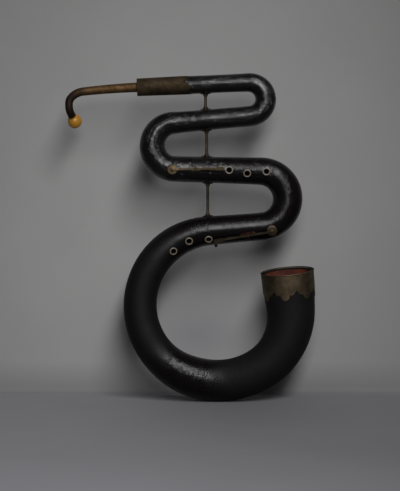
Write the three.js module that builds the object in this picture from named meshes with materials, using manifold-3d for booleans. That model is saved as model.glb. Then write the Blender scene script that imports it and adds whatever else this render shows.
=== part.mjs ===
// A serpent, the folded bass horn in C: walnut in two halves under black leather, with a brass crook.
// Lengths are millimetres. X runs to the right, Y away from the viewer and Z up.
// The tube follows straight branches and bows from the receiver to the bell.
import * as THREE from "three";
import { mergeVertices } from "three/addons/utils/BufferGeometryUtils.js";
import Module from "manifold-3d";

const wasm = await Module();
wasm.setup();

const degrees = THREE.MathUtils.degToRad;
const fullTurn = degrees(360);
const halfTurn = degrees(180);
const quarterTurn = degrees(90);

// Fits between pieces
const fitGap = 0.3;
const pinGap = 0.08;
const seamGap = 0.3;
const overrun = 4;

// Facets
const facetSag = 2;
const crookSag = 0.6;
const longestStep = 75;
const tubeSides = 16;
const crookSides = 12;
const turnedSides = 16;
const smallSides = 8;
const halvings = 40;

// Course of the tube
const throatRise = degrees(2.5);
const firstBranch = 267;
const firstBow = { radius: 40.4, turn: degrees(-177.5) };
const secondBranch = 186;
const secondBow = { radius: 55.5, turn: degrees(173.5) };
const thirdBranch = 207;
const thirdBow = { radius: 66.3, turn: degrees(-173.8) };
const fourthBranch = 129;
const greatBow = { radius: 179.5, turn: degrees(155.8) };
const bottomBow = { radius: 200, turn: degrees(46.5) };
const bellBow = { radius: 155.5, turn: degrees(68.7) };
const bellEnd = { radius: 610, turn: degrees(8), roll: degrees(90) };

// Width over the leather, at shares of the course
const widthShares = [
  0, 0.055, 0.11, 0.15, 0.2, 0.25, 0.3, 0.35, 0.42, 0.47, 0.53, 0.58, 0.63, 0.7, 0.76, 0.81, 0.85, 0.91, 0.955,
  0.98, 1,
];
const throatWidth = 40.5;
const widths = [
  throatWidth, 43, 43.4, 50, 49, 51.4, 60.8, 61.8, 64.5, 71, 66.5, 69.6, 76.5, 79.2, 84.4, 98.5, 100, 105, 114.8,
  122.8, 125,
];
const leatherThickness = 1.2;
const woodWall = 5.4;
const woodJointShares = [0.17, 0.365, 0.56, 0.76];

// Receiver
const receiverLength = 114;
const receiverPointDepth = 16;
const receiverPoints = 5;
const receiverPointShares = [0.06, 0.5, 1, 0.5];
const receiverWall = 0.6;
const plateThickness = 2;
const tenonDepth = 36;
const tenonRadius = 9.8;
const lappingThickness = 1.2;
const lappingLength = 28;
const linerLength = 42;

// Crook
const crookReach = 130;
const crookDroop = degrees(4);
const crookShoulder = { radius: 45, turn: degrees(40) };
const crookFirstTurn = { radius: 22, turn: degrees(44.5) };
const crookFall = 5;
const crookSecondTurn = { radius: 22, turn: degrees(50), roll: degrees(-68) };
const crookTip = 10;
const crookStartRadius = 11.5;
const crookEndRadius = 9;
const crookWall = 1.2;

// Mouthpiece
const shankLength = 9;
const cupLength = 28;
const cupRadius = 17;
const cupMouthRadius = 11.6;
const cupThroatRadius = 2.8;
const backboreRadius = 4.4;
// Radius and height of each turned corner, as shares of the cup's own radius or mouth radius and its length
const cupOutsideShares = [
  [0.56, 0.08], [0.86, 0.31], [1, 0.62], [0.98, 0.78], [0.92, 0.93], [0.85, 1],
];
const cupInsideShares = [
  [1.06, 1], [1, 0.96], [0.97, 0.75], [0.75, 0.5], [0.36, 0.36],
];
const cupThroatShare = 0.29;

// Finger holes
const fingerHoleRadius = 6.4;
const bushingBarrelRadius = 7.6;
const bushingCollarRadius = 9.2;
const bushingCollarHeight = 1.8;
const upperHoleShares = [0.3975, 0.417, 0.4378];
const upperHoleTilts = [degrees(-1.5), degrees(-13.5), degrees(-2)];
const lowerHoleShares = [0.583, 0.6063, 0.6282];
const lowerHoleTilts = [degrees(36), degrees(22), degrees(25)];

// Keys
const pivotHeight = 9;
const leverWidth = 4.4;
const leverThickness = 3;
const barrelRadius = 3;
const axleRadius = 1.2;
const coverRadius = 12.3;
const coverThickness = 2;
const coverBossRadius = 4.5;
const padRadius = 11;
const padThickness = 4;
const keyHoleRadius = 5.5;
const touchWidth = 8.5;
const cheekThickness = 1.8;
const cheekLength = 8;
const saddleThickness = 2;
const saddleScrewInset = 3;
const screwHeadRadius = 2.2;
const screwHeadHeight = 1.2;
const screwShankRadius = 1.1;
const screwLength = 6;
const springWidth = 3.6;
const springThickness = 0.6;
const springRoot = 5;
const springReachShare = 0.6;
const springSteps = 6;
const upperKey = {
  name: "upper_key",
  share: 0.3613,
  tilt: degrees(-1.5),
  skew: degrees(2.5),
  coverReach: 55.4,
  coverLift: 0.2,
  touchReach: 68,
  touchLength: 16,
  saddleLength: 22,
};
const lowerKey = {
  name: "lower_key",
  share: 0.5403,
  tilt: degrees(27.5),
  skew: degrees(5.1),
  coverReach: 58,
  coverLift: 1.6,
  touchReach: 82.6,
  touchLength: 16,
  saddleLength: 36,
  tabReach: 16,
  tabWidth: 7,
};

// Stays
const stayReach = 164.4;
const stayStep = 2.6;
const stayRadius = 3.8;
const flangeRadius = 10.5;
const flangeLobeShare = 0.18;
const flangeLobes = 4;
const flangeThickness = 2;
const bossRadius = 5.6;
const bossHeight = 5;

// Bell garland
const garlandDepth = 38;
const garlandLobeDepth = 26;
const garlandLobes = 7;
const garlandLobeShares = [0.05, 0.45, 1, 0.45];
const garlandWall = 0.8;
const rimBeadRadius = 1.5;

// Materials
function material(color, roughness, metalness) {
  return new THREE.MeshStandardMaterial({ color, roughness, metalness, flatShading: true });
}
const leather = material("#1b1a1b", 0.42, 0);
const walnut = material("#6e4434", 0.6, 0);
const agedBrass = material("#7b6a4e", 0.55, 1);
const crookBrass = material("#8f7a52", 0.4, 1);
const keyBrass = material("#857253", 0.45, 1);
const ivory = material("#cfc3a4", 0.45, 0);
const thread = material("#a08a5e", 0.9, 0);
const padLeather = material("#3a2a20", 0.85, 0);
const steel = material("#4a4742", 0.5, 1);

// A course carries a frame of place, ahead, left and front along its legs
function follow(frame, leg, travelled) {
  const place = frame.place.clone();
  const ahead = frame.ahead.clone();
  const left = frame.left.clone();
  if (leg.radius === undefined) {
    place.addScaledVector(ahead, travelled);
  } else {
    const inward = left.clone().applyAxisAngle(ahead, leg.roll ?? 0);
    const axis = ahead.clone().cross(inward);
    const side = Math.sign(leg.turn);
    const angle = (side * travelled) / leg.radius;
    const centre = place.clone().addScaledVector(inward, side * leg.radius);
    place.sub(centre).applyAxisAngle(axis, angle).add(centre);
    ahead.applyAxisAngle(axis, angle);
    left.applyAxisAngle(axis, angle);
  }
  return { place, ahead, left, front: ahead.clone().cross(left) };
}

function legLength(leg) {
  return leg.radius === undefined ? leg : Math.abs(leg.turn) * leg.radius;
}

function courseOf(start, legs) {
  const parts = [];
  let frame = start;
  let distance = 0;
  for (const leg of legs) {
    const length = legLength(leg);
    parts.push({ leg, frame, start: distance, length });
    frame = follow(frame, leg, length);
    distance += length;
  }
  return { parts, length: distance };
}

function frameAt(course, distance) {
  const part = course.parts.findLast((p) => p.start <= distance) ?? course.parts[0];
  return follow(part.frame, part.leg, distance - part.start);
}

/** Distances along a course, close enough that a wall of this radius sags less than facetSag. */
function stationsOf(course, wallRadius, sag) {
  const stations = [];
  for (const { leg, start, length } of course.parts) {
    const reach = (leg.radius ?? Infinity) + wallRadius;
    const stepTurn = 2 * Math.acos(1 - sag / reach);
    const steps = Number.isFinite(reach)
      ? Math.max(Math.ceil(Math.abs(leg.turn) / stepTurn), Math.ceil(length / longestStep))
      : Math.ceil(length / longestStep);
    for (let step = 0; step < steps; step += 1) {
      stations.push(start + (length * step) / steps);
    }
  }
  stations.push(course.length);
  return stations;
}

/** The stations between two distances, with the two distances themselves at the ends. */
function between(stations, from, to) {
  const inner = stations.filter((s) => s > from + fitGap && s < to - fitGap);
  return [from, ...inner, to];
}

// Width of the tube
function slopeAt(index) {
  const before = Math.max(index - 1, 0);
  const after = Math.min(index + 1, widths.length - 1);
  return (widths[after] - widths[before]) / (widthShares[after] - widthShares[before]);
}

function widthAt(share) {
  const next = Math.min(Math.max(widthShares.findIndex((s) => s > share), 1), widths.length - 1);
  const index = share >= 1 ? widths.length - 2 : next - 1;
  const span = widthShares[index + 1] - widthShares[index];
  const t = Math.min(Math.max((share - widthShares[index]) / span, 0), 1);
  const rise = t * t * (3 - 2 * t);
  const leave = t * (1 - t) * (1 - t) * span;
  const arrive = t * t * (t - 1) * span;
  return (
    widths[index] * (1 - rise) + widths[index + 1] * rise + slopeAt(index) * leave + slopeAt(index + 1) * arrive
  );
}

const start = {
  place: new THREE.Vector3(),
  ahead: new THREE.Vector3(Math.cos(throatRise), 0, Math.sin(throatRise)),
  left: new THREE.Vector3(-Math.sin(throatRise), 0, Math.cos(throatRise)),
};
const tube = courseOf(start, [
  firstBranch,
  firstBow,
  secondBranch,
  secondBow,
  thirdBranch,
  thirdBow,
  fourthBranch,
  greatBow,
  bottomBow,
  bellBow,
  bellEnd,
]);
const garlandTop = tube.length - garlandDepth;
const brassStations = [receiverLength, garlandTop - garlandLobeDepth, garlandTop, garlandTop + garlandDepth / 2];
const tubeStations = [...stationsOf(tube, Math.max(...widths) / 2, facetSag), ...brassStations].sort(
  (a, b) => a - b,
);

function nearestStation(distance) {
  const byNearness = (a, b) => Math.abs(a - distance) - Math.abs(b - distance);
  return [...tubeStations].sort(byNearness)[0];
}

function leatherRadius(distance) {
  return widthAt(distance / tube.length) / 2;
}

function woodRadius(distance) {
  return leatherRadius(distance) - leatherThickness - fitGap - seamGap / 2;
}

function boreRadius(distance) {
  return woodRadius(distance) - woodWall;
}

// Closed meshes from points and the corners of their faces
class Faces {
  constructor(points) {
    this.positions = points.flatMap((point) => point.toArray());
    this.indices = [];
  }

  triangle(a, b, c) {
    this.indices.push(a, b, c);
  }

  quad(a, b, c, d) {
    this.indices.push(a, b, c, a, c, d);
  }

  geometry() {
    const geometry = new THREE.BufferGeometry();
    geometry.setAttribute("position", new THREE.Float32BufferAttribute(this.positions, 3));
    geometry.setIndex(this.indices);
    return geometry;
  }
}

function around(frame, angle, radius) {
  return frame.place
    .clone()
    .addScaledVector(frame.left, radius * Math.cos(angle))
    .addScaledVector(frame.front, radius * Math.sin(angle));
}

/** A wall around a course. Each row has a distance, two radii or rules for them, and may shift with the angle. */
function tubeWall(course, rows, sides, arc = { from: 0, turn: fullTurn }, shift = new THREE.Vector3()) {
  const whole = arc.turn === fullTurn;
  const columns = whole ? sides : sides + 1;
  const angles = Array.from({ length: columns }, (_, i) => arc.from + (arc.turn * i) / sides);
  const ringOf = (row, radius) =>
    angles.map((angle) => {
      const distance = row.distance + (row.edge ? row.edge(angle) : 0);
      const reach = typeof radius === "function" ? radius(distance) : radius;
      return around(frameAt(course, distance), angle, reach).add(shift);
    });
  const faces = new Faces(rows.flatMap((row) => [...ringOf(row, row.outer), ...ringOf(row, row.inner)]));
  const outerAt = (row, i) => row * 2 * columns + (i % columns);
  const innerAt = (row, i) => outerAt(row, i) + columns;
  const last = rows.length - 1;
  for (let i = 0; i < sides; i += 1) {
    for (let row = 0; row < last; row += 1) {
      faces.quad(outerAt(row, i), outerAt(row, i + 1), outerAt(row + 1, i + 1), outerAt(row + 1, i));
      faces.quad(innerAt(row, i + 1), innerAt(row, i), innerAt(row + 1, i), innerAt(row + 1, i + 1));
    }
    faces.quad(outerAt(last, i), outerAt(last, i + 1), innerAt(last, i + 1), innerAt(last, i));
    faces.quad(innerAt(0, i), innerAt(0, i + 1), outerAt(0, i + 1), outerAt(0, i));
  }
  for (let row = 0; !whole && row < last; row += 1) {
    faces.quad(outerAt(row, sides), innerAt(row, sides), innerAt(row + 1, sides), outerAt(row + 1, sides));
    faces.quad(innerAt(row, 0), outerAt(row, 0), outerAt(row + 1, 0), innerAt(row + 1, 0));
  }
  return faces.geometry();
}

/** The tube as a full bar, this much wider than its leather, used to shape what sits on it. */
function tubeBar(growth) {
  const rings = tubeStations.map((distance) => {
    const frame = frameAt(tube, distance);
    const radius = leatherRadius(distance) + growth;
    return Array.from({ length: tubeSides }, (_, i) => around(frame, (fullTurn * i) / tubeSides, radius));
  });
  const faces = new Faces(rings.flat());
  const cornerAt = (row, i) => row * tubeSides + (i % tubeSides);
  const last = rings.length - 1;
  for (let i = 0; i < tubeSides; i += 1) {
    for (let row = 0; row < last; row += 1) {
      faces.quad(cornerAt(row, i), cornerAt(row, i + 1), cornerAt(row + 1, i + 1), cornerAt(row + 1, i));
    }
  }
  for (let i = 1; i < tubeSides - 1; i += 1) {
    faces.triangle(cornerAt(0, 0), cornerAt(0, i + 1), cornerAt(0, i));
    faces.triangle(cornerAt(last, 0), cornerAt(last, i), cornerAt(last, i + 1));
  }
  return faces.geometry();
}

// Solids
function solidOf(geometry) {
  const bare = geometry.clone();
  bare.deleteAttribute("normal");
  bare.deleteAttribute("uv");
  const merged = mergeVertices(bare);
  return new wasm.Manifold(
    new wasm.Mesh({
      numProp: 3,
      vertProperties: merged.attributes.position.array,
      triVerts: new Uint32Array(merged.index.array),
    }),
  );
}

function geometryOf(solid) {
  const mesh = solid.getMesh();
  const geometry = new THREE.BufferGeometry();
  geometry.setAttribute("position", new THREE.Float32BufferAttribute(mesh.vertProperties, mesh.numProp));
  geometry.setIndex(Array.from(mesh.triVerts));
  return geometry;
}

function joined(...geometries) {
  return geometries.map(solidOf).reduce((whole, piece) => whole.add(piece));
}

function meshFrom(name, geometry, look) {
  geometry.computeVertexNormals();
  const mesh = new THREE.Mesh(geometry, look);
  mesh.name = name;
  return mesh;
}

function uprightCylinder(radius, bottom, top, sides) {
  const geometry = new THREE.CylinderGeometry(radius, radius, top - bottom, sides);
  return geometry.rotateX(quarterTurn).translate(0, 0, (top + bottom) / 2);
}

function crossCylinder(radius, length, sides) {
  return new THREE.CylinderGeometry(radius, radius, length, sides);
}

function turned(profile, sides) {
  const points = profile.map(([radius, height]) => new THREE.Vector2(radius, height));
  return new THREE.LatheGeometry([...points, points[0]], sides).rotateX(quarterTurn);
}

function box(length, width, bottom, top) {
  return new THREE.BoxGeometry(length, width, top - bottom).translate(0, 0, (top + bottom) / 2);
}

/** An outline in the length and height of a piece, drawn out to both sides of its middle. */
function sideExtrusion(outline, width) {
  const shape = new THREE.Shape(outline.map(([x, z]) => new THREE.Vector2(x, z)));
  const geometry = new THREE.ExtrudeGeometry(shape, { depth: width, bevelEnabled: false });
  return geometry.translate(0, 0, -width / 2).rotateX(quarterTurn);
}

// Places on the tube
function facing(frame, tilt) {
  return frame.front
    .clone()
    .multiplyScalar(Math.cos(tilt))
    .addScaledVector(frame.left, Math.sin(tilt));
}

function matrixOf(place, along, out) {
  const across = out.clone().cross(along);
  return new THREE.Matrix4().makeBasis(along, across, out).setPosition(place);
}

/** A place on the leather, with its own axes: along the tube, across it, and straight out. */
function seatOn(distance, tilt, skew = 0) {
  const frame = frameAt(tube, distance);
  const out = facing(frame, tilt);
  const along = frame.ahead.clone().applyAxisAngle(out, skew);
  const place = frame.place.clone().addScaledVector(out, leatherRadius(distance));
  return matrixOf(place, along, out);
}

function placed(group, matrix) {
  group.applyMatrix4(matrix);
  return group;
}

function groupOf(meshes, matrix) {
  const group = new THREE.Group();
  group.add(...meshes);
  return placed(group, matrix);
}

/** A solid in the tube's place, seen from a seat on the tube. */
function seenFrom(seat, solid) {
  return solid.transform(seat.clone().invert().elements);
}

const clearOfTube = solidOf(tubeBar(fitGap));
const overFlanges = solidOf(tubeBar(fitGap + flangeThickness));

// Openings drilled through leather and wood
const holeSeats = [...upperHoleShares, ...lowerHoleShares].map((share, i) =>
  seatOn(share * tube.length, [...upperHoleTilts, ...lowerHoleTilts][i]),
);

function keySeat(key) {
  return seatOn(key.share * tube.length, key.tilt, key.skew);
}

function screwPlaces(key) {
  const reach = key.saddleLength / 2 - saddleScrewInset;
  return [-reach, reach];
}

function drills() {
  const depth = leatherThickness + woodWall + 2 * overrun;
  const cutters = holeSeats.map((seat) =>
    uprightCylinder(bushingBarrelRadius + fitGap, -depth, overrun, turnedSides).applyMatrix4(seat),
  );
  for (const key of [upperKey, lowerKey]) {
    const seat = keySeat(key);
    cutters.push(
      uprightCylinder(keyHoleRadius, -depth, overrun * 2, turnedSides)
        .translate(-key.coverReach, 0, 0)
        .applyMatrix4(seat),
    );
    for (const x of screwPlaces(key)) {
      cutters.push(
        uprightCylinder(screwShankRadius + pinGap, -screwLength - fitGap, overrun, smallSides)
          .translate(x, 0, 0)
          .applyMatrix4(seat),
      );
    }
  }
  return cutters.map(solidOf);
}
const drilled = drills();

function drillThrough(geometry) {
  return geometryOf(drilled.reduce((whole, cutter) => whole.subtract(cutter), solidOf(geometry)));
}

// The walnut tube, in lengths of two halves each
const bodyStart = plateThickness + fitGap;

function woodHalf(name, from, to, front) {
  const rows = between(tubeStations, from, to).map((distance) => ({
    distance,
    outer: woodRadius(distance),
    inner: boreRadius(distance),
  }));
  const shift = new THREE.Vector3(0, ((front ? -1 : 1) * seamGap) / 2, 0);
  const arc = { from: front ? 0 : halfTurn, turn: halfTurn };
  const wall = tubeWall(tube, rows, tubeSides / 2, arc, shift);
  return meshFrom(name, front ? drillThrough(wall) : wall, walnut);
}

function woodHalves() {
  const joints = woodJointShares.map((share) => nearestStation(share * tube.length));
  const starts = [bodyStart, ...joints.map((joint) => joint + fitGap)];
  const ends = [...joints, tube.length];
  return starts.flatMap((from, i) => [
    woodHalf(`walnut_length_${i + 1}_front`, from, ends[i], true),
    woodHalf(`walnut_length_${i + 1}_back`, from, ends[i], false),
  ]);
}

function leatherCover() {
  const rows = between(tubeStations, bodyStart, tube.length).map((distance) => ({
    distance,
    outer: leatherRadius(distance),
    inner: leatherRadius(distance) - leatherThickness,
  }));
  const wall = tubeWall(tube, rows, tubeSides);
  return meshFrom("leather_cover", drillThrough(wall), leather);
}

/** A brass sheet rolled round the leather, with one end cut to a pattern of points. */
function brassSheet(name, from, to, wall, pattern) {
  const { points, shares, depth, atStart } = pattern;
  const sides = points * shares.length;
  const inner = (distance) => (leatherRadius(distance) + fitGap) / Math.cos(halfTurn / sides);
  const outer = (distance) => inner(distance) + wall;
  const edge = (angle) => {
    const column = Math.round((angle / fullTurn) * sides) % shares.length;
    return (atStart ? -depth : depth) * shares[column];
  };
  const rows = between(tubeStations, from, to).map((distance) => ({ distance, outer, inner }));
  const cut = { distance: atStart ? from : to, outer, inner, edge };
  const all = atStart ? [cut, ...rows] : [...rows, cut];
  return meshFrom(name, tubeWall(tube, all, sides), agedBrass);
}

// The brass at the mouth end
function receiverSleeve() {
  const pattern = { points: receiverPoints, shares: receiverPointShares, depth: receiverPointDepth };
  return brassSheet("receiver_sleeve", 0, receiverLength, receiverWall, pattern);
}

function receiverSocket() {
  const plateRadius = leatherRadius(0);
  const linerRadius = boreRadius(bodyStart) - fitGap;
  const bore = tenonRadius + fitGap + lappingThickness + fitGap;
  const rows = [
    { distance: 0, outer: plateRadius, inner: bore },
    { distance: plateThickness, outer: plateRadius, inner: bore },
    { distance: plateThickness, outer: linerRadius, inner: bore },
    { distance: linerLength, outer: linerRadius, inner: bore },
  ];
  return meshFrom("receiver_socket", tubeWall(tube, rows, turnedSides), agedBrass);
}

function crookCourse() {
  const mouth = frameAt(tube, 0);
  const begin = {
    place: mouth.place.clone().addScaledVector(mouth.ahead, tenonDepth),
    ahead: mouth.ahead.clone().negate(),
    left: mouth.left.clone().negate(),
  };
  const reachBow = { radius: crookReach / crookDroop, turn: crookDroop };
  const curl = [crookShoulder, crookFirstTurn, crookFall, crookSecondTurn, crookTip];
  return courseOf(begin, [tenonDepth + fitGap, reachBow, ...curl]);
}
const crookLine = crookCourse();

function crookTube() {
  const shoulder = tenonDepth + fitGap;
  const stations = stationsOf(crookLine, crookStartRadius, crookSag);
  const outerAt = (distance) => {
    const share = (distance - shoulder) / (crookLine.length - shoulder);
    return crookStartRadius + (crookEndRadius - crookStartRadius) * share;
  };
  const body = between(stations, shoulder, crookLine.length).map((distance) => ({
    distance,
    outer: outerAt(distance),
    inner: Math.min(outerAt(distance), tenonRadius) - crookWall,
  }));
  const tenonBore = tenonRadius - crookWall;
  const rows = [
    { distance: 0, outer: tenonRadius, inner: tenonBore },
    { distance: shoulder, outer: tenonRadius, inner: tenonBore },
    ...body,
  ];
  return meshFrom("crook", tubeWall(crookLine, rows, crookSides), crookBrass);
}

function crookLapping() {
  const middle = tenonDepth / 2;
  const rows = [middle - lappingLength / 2, middle + lappingLength / 2].map((distance) => ({
    distance,
    outer: tenonRadius + fitGap + lappingThickness,
    inner: tenonRadius + fitGap,
  }));
  const wall = tubeWall(crookLine, rows, crookSides);
  return meshFrom("crook_lapping", wall, thread);
}

function mouthpiece() {
  const shankRadius = crookEndRadius - crookWall - fitGap;
  const profile = [
    [backboreRadius, -shankLength],
    [shankRadius, -shankLength],
    [shankRadius, fitGap],
    [crookEndRadius + crookWall, fitGap],
    ...cupOutsideShares.map(([out, up]) => [cupRadius * out, cupLength * up]),
    ...cupInsideShares.map(([out, up]) => [cupMouthRadius * out, cupLength * up]),
    [cupThroatRadius, cupLength * cupThroatShare],
  ];
  const end = frameAt(crookLine, crookLine.length);
  const mesh = meshFrom("mouthpiece", turned(profile, turnedSides), ivory);
  return placed(mesh, matrixOf(end.place, end.left, end.ahead));
}

// Finger holes
function bushing(name, seat) {
  const top = bushingCollarHeight;
  const foot = -leatherThickness - woodWall;
  const collar = solidOf(uprightCylinder(bushingCollarRadius, -overrun, top, turnedSides));
  const barrel = solidOf(uprightCylinder(bushingBarrelRadius, foot, top, turnedSides));
  const hole = solidOf(uprightCylinder(fingerHoleRadius, foot - overrun, top + overrun, turnedSides));
  const ring = collar.subtract(seenFrom(seat, clearOfTube)).add(barrel).subtract(hole);
  return placed(meshFrom(name, geometryOf(ring), ivory), seat);
}

function bushings() {
  const names = ["upper", "lower"].flatMap((hand) => [1, 2, 3].map((n) => `${hand}_finger_bushing_${n}`));
  return holeSeats.map((seat, i) => bushing(names[i], seat));
}

// Keys: the origin is the axle, x runs to the touchpiece and z out of the tube
function coverBottom(key) {
  return padThickness + key.coverLift - pivotHeight;
}

function leverOutline(key) {
  const half = leverThickness / 2;
  return [
    [-key.coverReach - coverBossRadius, -half],
    [key.touchReach - touchWidth / 2, -half],
    [key.touchReach - touchWidth / 2, half],
    [-key.coverReach - coverBossRadius, half],
  ];
}

function touchOutline(key) {
  const shape = new THREE.Shape();
  const half = touchWidth / 2;
  const begin = key.touchReach - key.touchLength;
  shape.moveTo(begin - touchWidth, -leverWidth / 2);
  shape.lineTo(begin, -half);
  shape.lineTo(key.touchReach - half, -half);
  shape.absarc(key.touchReach - half, 0, half, -quarterTurn, quarterTurn);
  shape.lineTo(begin, half);
  shape.lineTo(begin - touchWidth, leverWidth / 2);
  return shape;
}

function keyLever(key) {
  const half = leverThickness / 2;
  const bottom = coverBottom(key);
  const bar = sideExtrusion(leverOutline(key), leverWidth);
  const barrel = crossCylinder(barrelRadius, leverWidth, smallSides);
  const cover = uprightCylinder(coverRadius, bottom, bottom + coverThickness, turnedSides).translate(
    -key.coverReach,
    0,
    0,
  );
  const boss = uprightCylinder(coverBossRadius, bottom + coverThickness / 2, half, smallSides).translate(
    -key.coverReach,
    0,
    0,
  );
  const touch = new THREE.ExtrudeGeometry(touchOutline(key), {
    depth: leverThickness,
    bevelEnabled: false,
    curveSegments: smallSides / 2,
  }).translate(0, 0, -half);
  let lever = joined(bar, barrel, cover, boss, touch);
  if (key.tabReach) {
    const tab = box(key.tabWidth, key.tabReach, -half, half);
    lever = lever.add(solidOf(tab.translate(key.touchReach - key.tabWidth / 2, key.tabReach / 2, 0)));
  }
  const eye = solidOf(crossCylinder(axleRadius + pinGap, leverWidth + overrun, smallSides));
  return meshFrom(`${key.name}_lever`, geometryOf(lever.subtract(eye)), keyBrass);
}

function keyPad(key, seat) {
  const bottom = coverBottom(key);
  const pad = uprightCylinder(padRadius, bottom - padThickness - overrun, bottom - fitGap, turnedSides);
  const shaped = solidOf(pad.translate(-key.coverReach, 0, 0)).subtract(seenFrom(seat, clearOfTube));
  return meshFrom(`${key.name}_pad`, geometryOf(shaped), padLeather);
}

function keySpring(key) {
  const top = -leverThickness / 2 - fitGap;
  const tip = key.touchReach * springReachShare;
  const drop = pivotHeight + top - 2 * fitGap - springThickness;
  const shares = Array.from({ length: springSteps + 1 }, (_, i) => i / springSteps);
  const curve = (offset) =>
    shares.map((share) => [springRoot + (tip - springRoot) * share, top + offset - drop * share * share]);
  const outline = [...curve(-springThickness), ...curve(0).reverse()];
  return meshFrom(`${key.name}_spring`, sideExtrusion(outline, springWidth), steel);
}

function keySaddle(key, seat) {
  const base = -pivotHeight;
  const cheek = (side) => {
    const offset = side * (leverWidth / 2 + fitGap + cheekThickness / 2);
    return box(cheekLength, cheekThickness, base, barrelRadius).translate(0, offset, 0);
  };
  const width = leverWidth + 2 * (fitGap + cheekThickness);
  const plate = box(key.saddleLength, width, base - overrun, base + saddleThickness);
  let saddle = joined(plate, cheek(1), cheek(-1));
  saddle = saddle.subtract(solidOf(crossCylinder(axleRadius + pinGap, width + overrun, smallSides)));
  for (const x of screwPlaces(key)) {
    const hole = uprightCylinder(screwShankRadius + pinGap, base - 2 * overrun, base + overrun, smallSides);
    saddle = saddle.subtract(solidOf(hole.translate(x, 0, 0)));
  }
  return meshFrom(`${key.name}_saddle`, geometryOf(saddle.subtract(seenFrom(seat, clearOfTube))), keyBrass);
}

function keyAxle(key) {
  const length = leverWidth + 2 * (fitGap + cheekThickness) + fitGap;
  return meshFrom(`${key.name}_axle`, crossCylinder(axleRadius, length, smallSides), steel);
}

function saddleScrew(key, name, x) {
  const seatHeight = -pivotHeight + saddleThickness + fitGap;
  const head = uprightCylinder(screwHeadRadius, seatHeight, seatHeight + screwHeadHeight, smallSides);
  const top = seatHeight + screwHeadHeight / 2;
  const shank = uprightCylinder(screwShankRadius, -pivotHeight - screwLength, top, smallSides);
  const mesh = meshFrom(`${key.name}_saddle_screw_${name}`, geometryOf(joined(head, shank)), steel);
  mesh.position.x = x;
  return mesh;
}

function keyWork(key) {
  const onTube = keySeat(key);
  const seat = onTube.clone().multiply(new THREE.Matrix4().makeTranslation(0, 0, pivotHeight));
  const [inner, outer] = screwPlaces(key);
  return groupOf(
    [
      keyLever(key),
      keyPad(key, seat),
      keySpring(key),
      keySaddle(key, seat),
      keyAxle(key),
      saddleScrew(key, "inner", inner),
      saddleScrew(key, "outer", outer),
    ],
    seat,
  );
}

// Stays between the branches
function distanceAtReach(reach, from, to) {
  let low = from;
  let high = to;
  const ascending = frameAt(tube, to).place.x > frameAt(tube, from).place.x;
  for (let i = 0; i < halvings; i += 1) {
    const middle = (low + high) / 2;
    const beyond = frameAt(tube, middle).place.x > reach;
    if (beyond === ascending) {
      high = middle;
    } else {
      low = middle;
    }
  }
  return (low + high) / 2;
}

/** The middle of each branch's straight stretch, as distances along the tube. */
function branchSpan(index) {
  const straight = tube.parts.filter((part) => part.leg.radius === undefined);
  const { start: from, length } = straight[index];
  return [from, from + length];
}

function stayFoot(name, distance, toward) {
  const frame = frameAt(tube, distance);
  const along = frame.ahead.clone().addScaledVector(toward, -toward.dot(frame.ahead)).normalize();
  const place = frame.place.clone().addScaledVector(toward, leatherRadius(distance));
  const seat = matrixOf(place, along, toward);
  const outside = seenFrom(seat, clearOfTube);
  const points = Array.from({ length: turnedSides }, (_, i) => {
    const angle = (fullTurn * i) / turnedSides;
    const radius = flangeRadius * (1 + flangeLobeShare * Math.cos(flangeLobes * angle));
    return new THREE.Vector2(radius * Math.cos(angle), radius * Math.sin(angle));
  });
  const depth = leatherRadius(distance);
  const block = new THREE.ExtrudeGeometry(new THREE.Shape(points), { depth, bevelEnabled: false });
  const skin = seenFrom(seat, overFlanges);
  const flange = solidOf(block.translate(0, 0, -depth / 2)).intersect(skin);
  const boss = solidOf(uprightCylinder(bossRadius, 0, flangeThickness + bossHeight, turnedSides));
  const socketFloor = flangeThickness + fitGap;
  const socket = uprightCylinder(stayRadius + fitGap, socketFloor, socketFloor + bossHeight + overrun, turnedSides);
  const foot = flange.add(boss).subtract(outside).subtract(solidOf(socket));
  return placed(meshFrom(name, geometryOf(foot), keyBrass), seat);
}

function stay(number) {
  const reach = stayReach + stayStep * (number - 1);
  const [above, below] = [branchSpan(number - 1), branchSpan(number)].map(([from, to]) =>
    distanceAtReach(reach, from, to),
  );
  const top = frameAt(tube, above).place;
  const bottom = frameAt(tube, below).place;
  const down = bottom.clone().sub(top).normalize();
  const inset = flangeThickness + 2 * fitGap;
  const length =
    top.distanceTo(bottom) - leatherRadius(above) - leatherRadius(below) - 2 * inset;
  const place = top.clone().addScaledVector(down, leatherRadius(above) + inset + length / 2);
  const rod = meshFrom(`stay_rod_${number}`, uprightCylinder(stayRadius, -length / 2, length / 2, turnedSides), keyBrass);
  const across = new THREE.Vector3(0, 1, 0);
  return [
    placed(rod, matrixOf(place, across.clone().cross(down), down)),
    stayFoot(`stay_foot_${number}_upper`, above, down),
    stayFoot(`stay_foot_${number}_lower`, below, down.clone().negate()),
  ];
}

// The bell's brass
function bellGarland() {
  const pattern = { points: garlandLobes, shares: garlandLobeShares, depth: garlandLobeDepth, atStart: true };
  return brassSheet("bell_garland", garlandTop, tube.length, garlandWall, pattern);
}

function bellRim() {
  const sides = garlandLobes * garlandLobeShares.length;
  const centre = leatherRadius(tube.length) + garlandWall;
  const profile = Array.from({ length: smallSides }, (_, i) => {
    const angle = (fullTurn * i) / smallSides;
    return [centre + rimBeadRadius * Math.cos(angle), fitGap + rimBeadRadius * (1 + Math.sin(angle))];
  });
  const end = frameAt(tube, tube.length);
  const mesh = meshFrom("bell_rim", turned(profile, sides), agedBrass);
  return placed(mesh, matrixOf(end.place, end.left, end.ahead));
}

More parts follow.
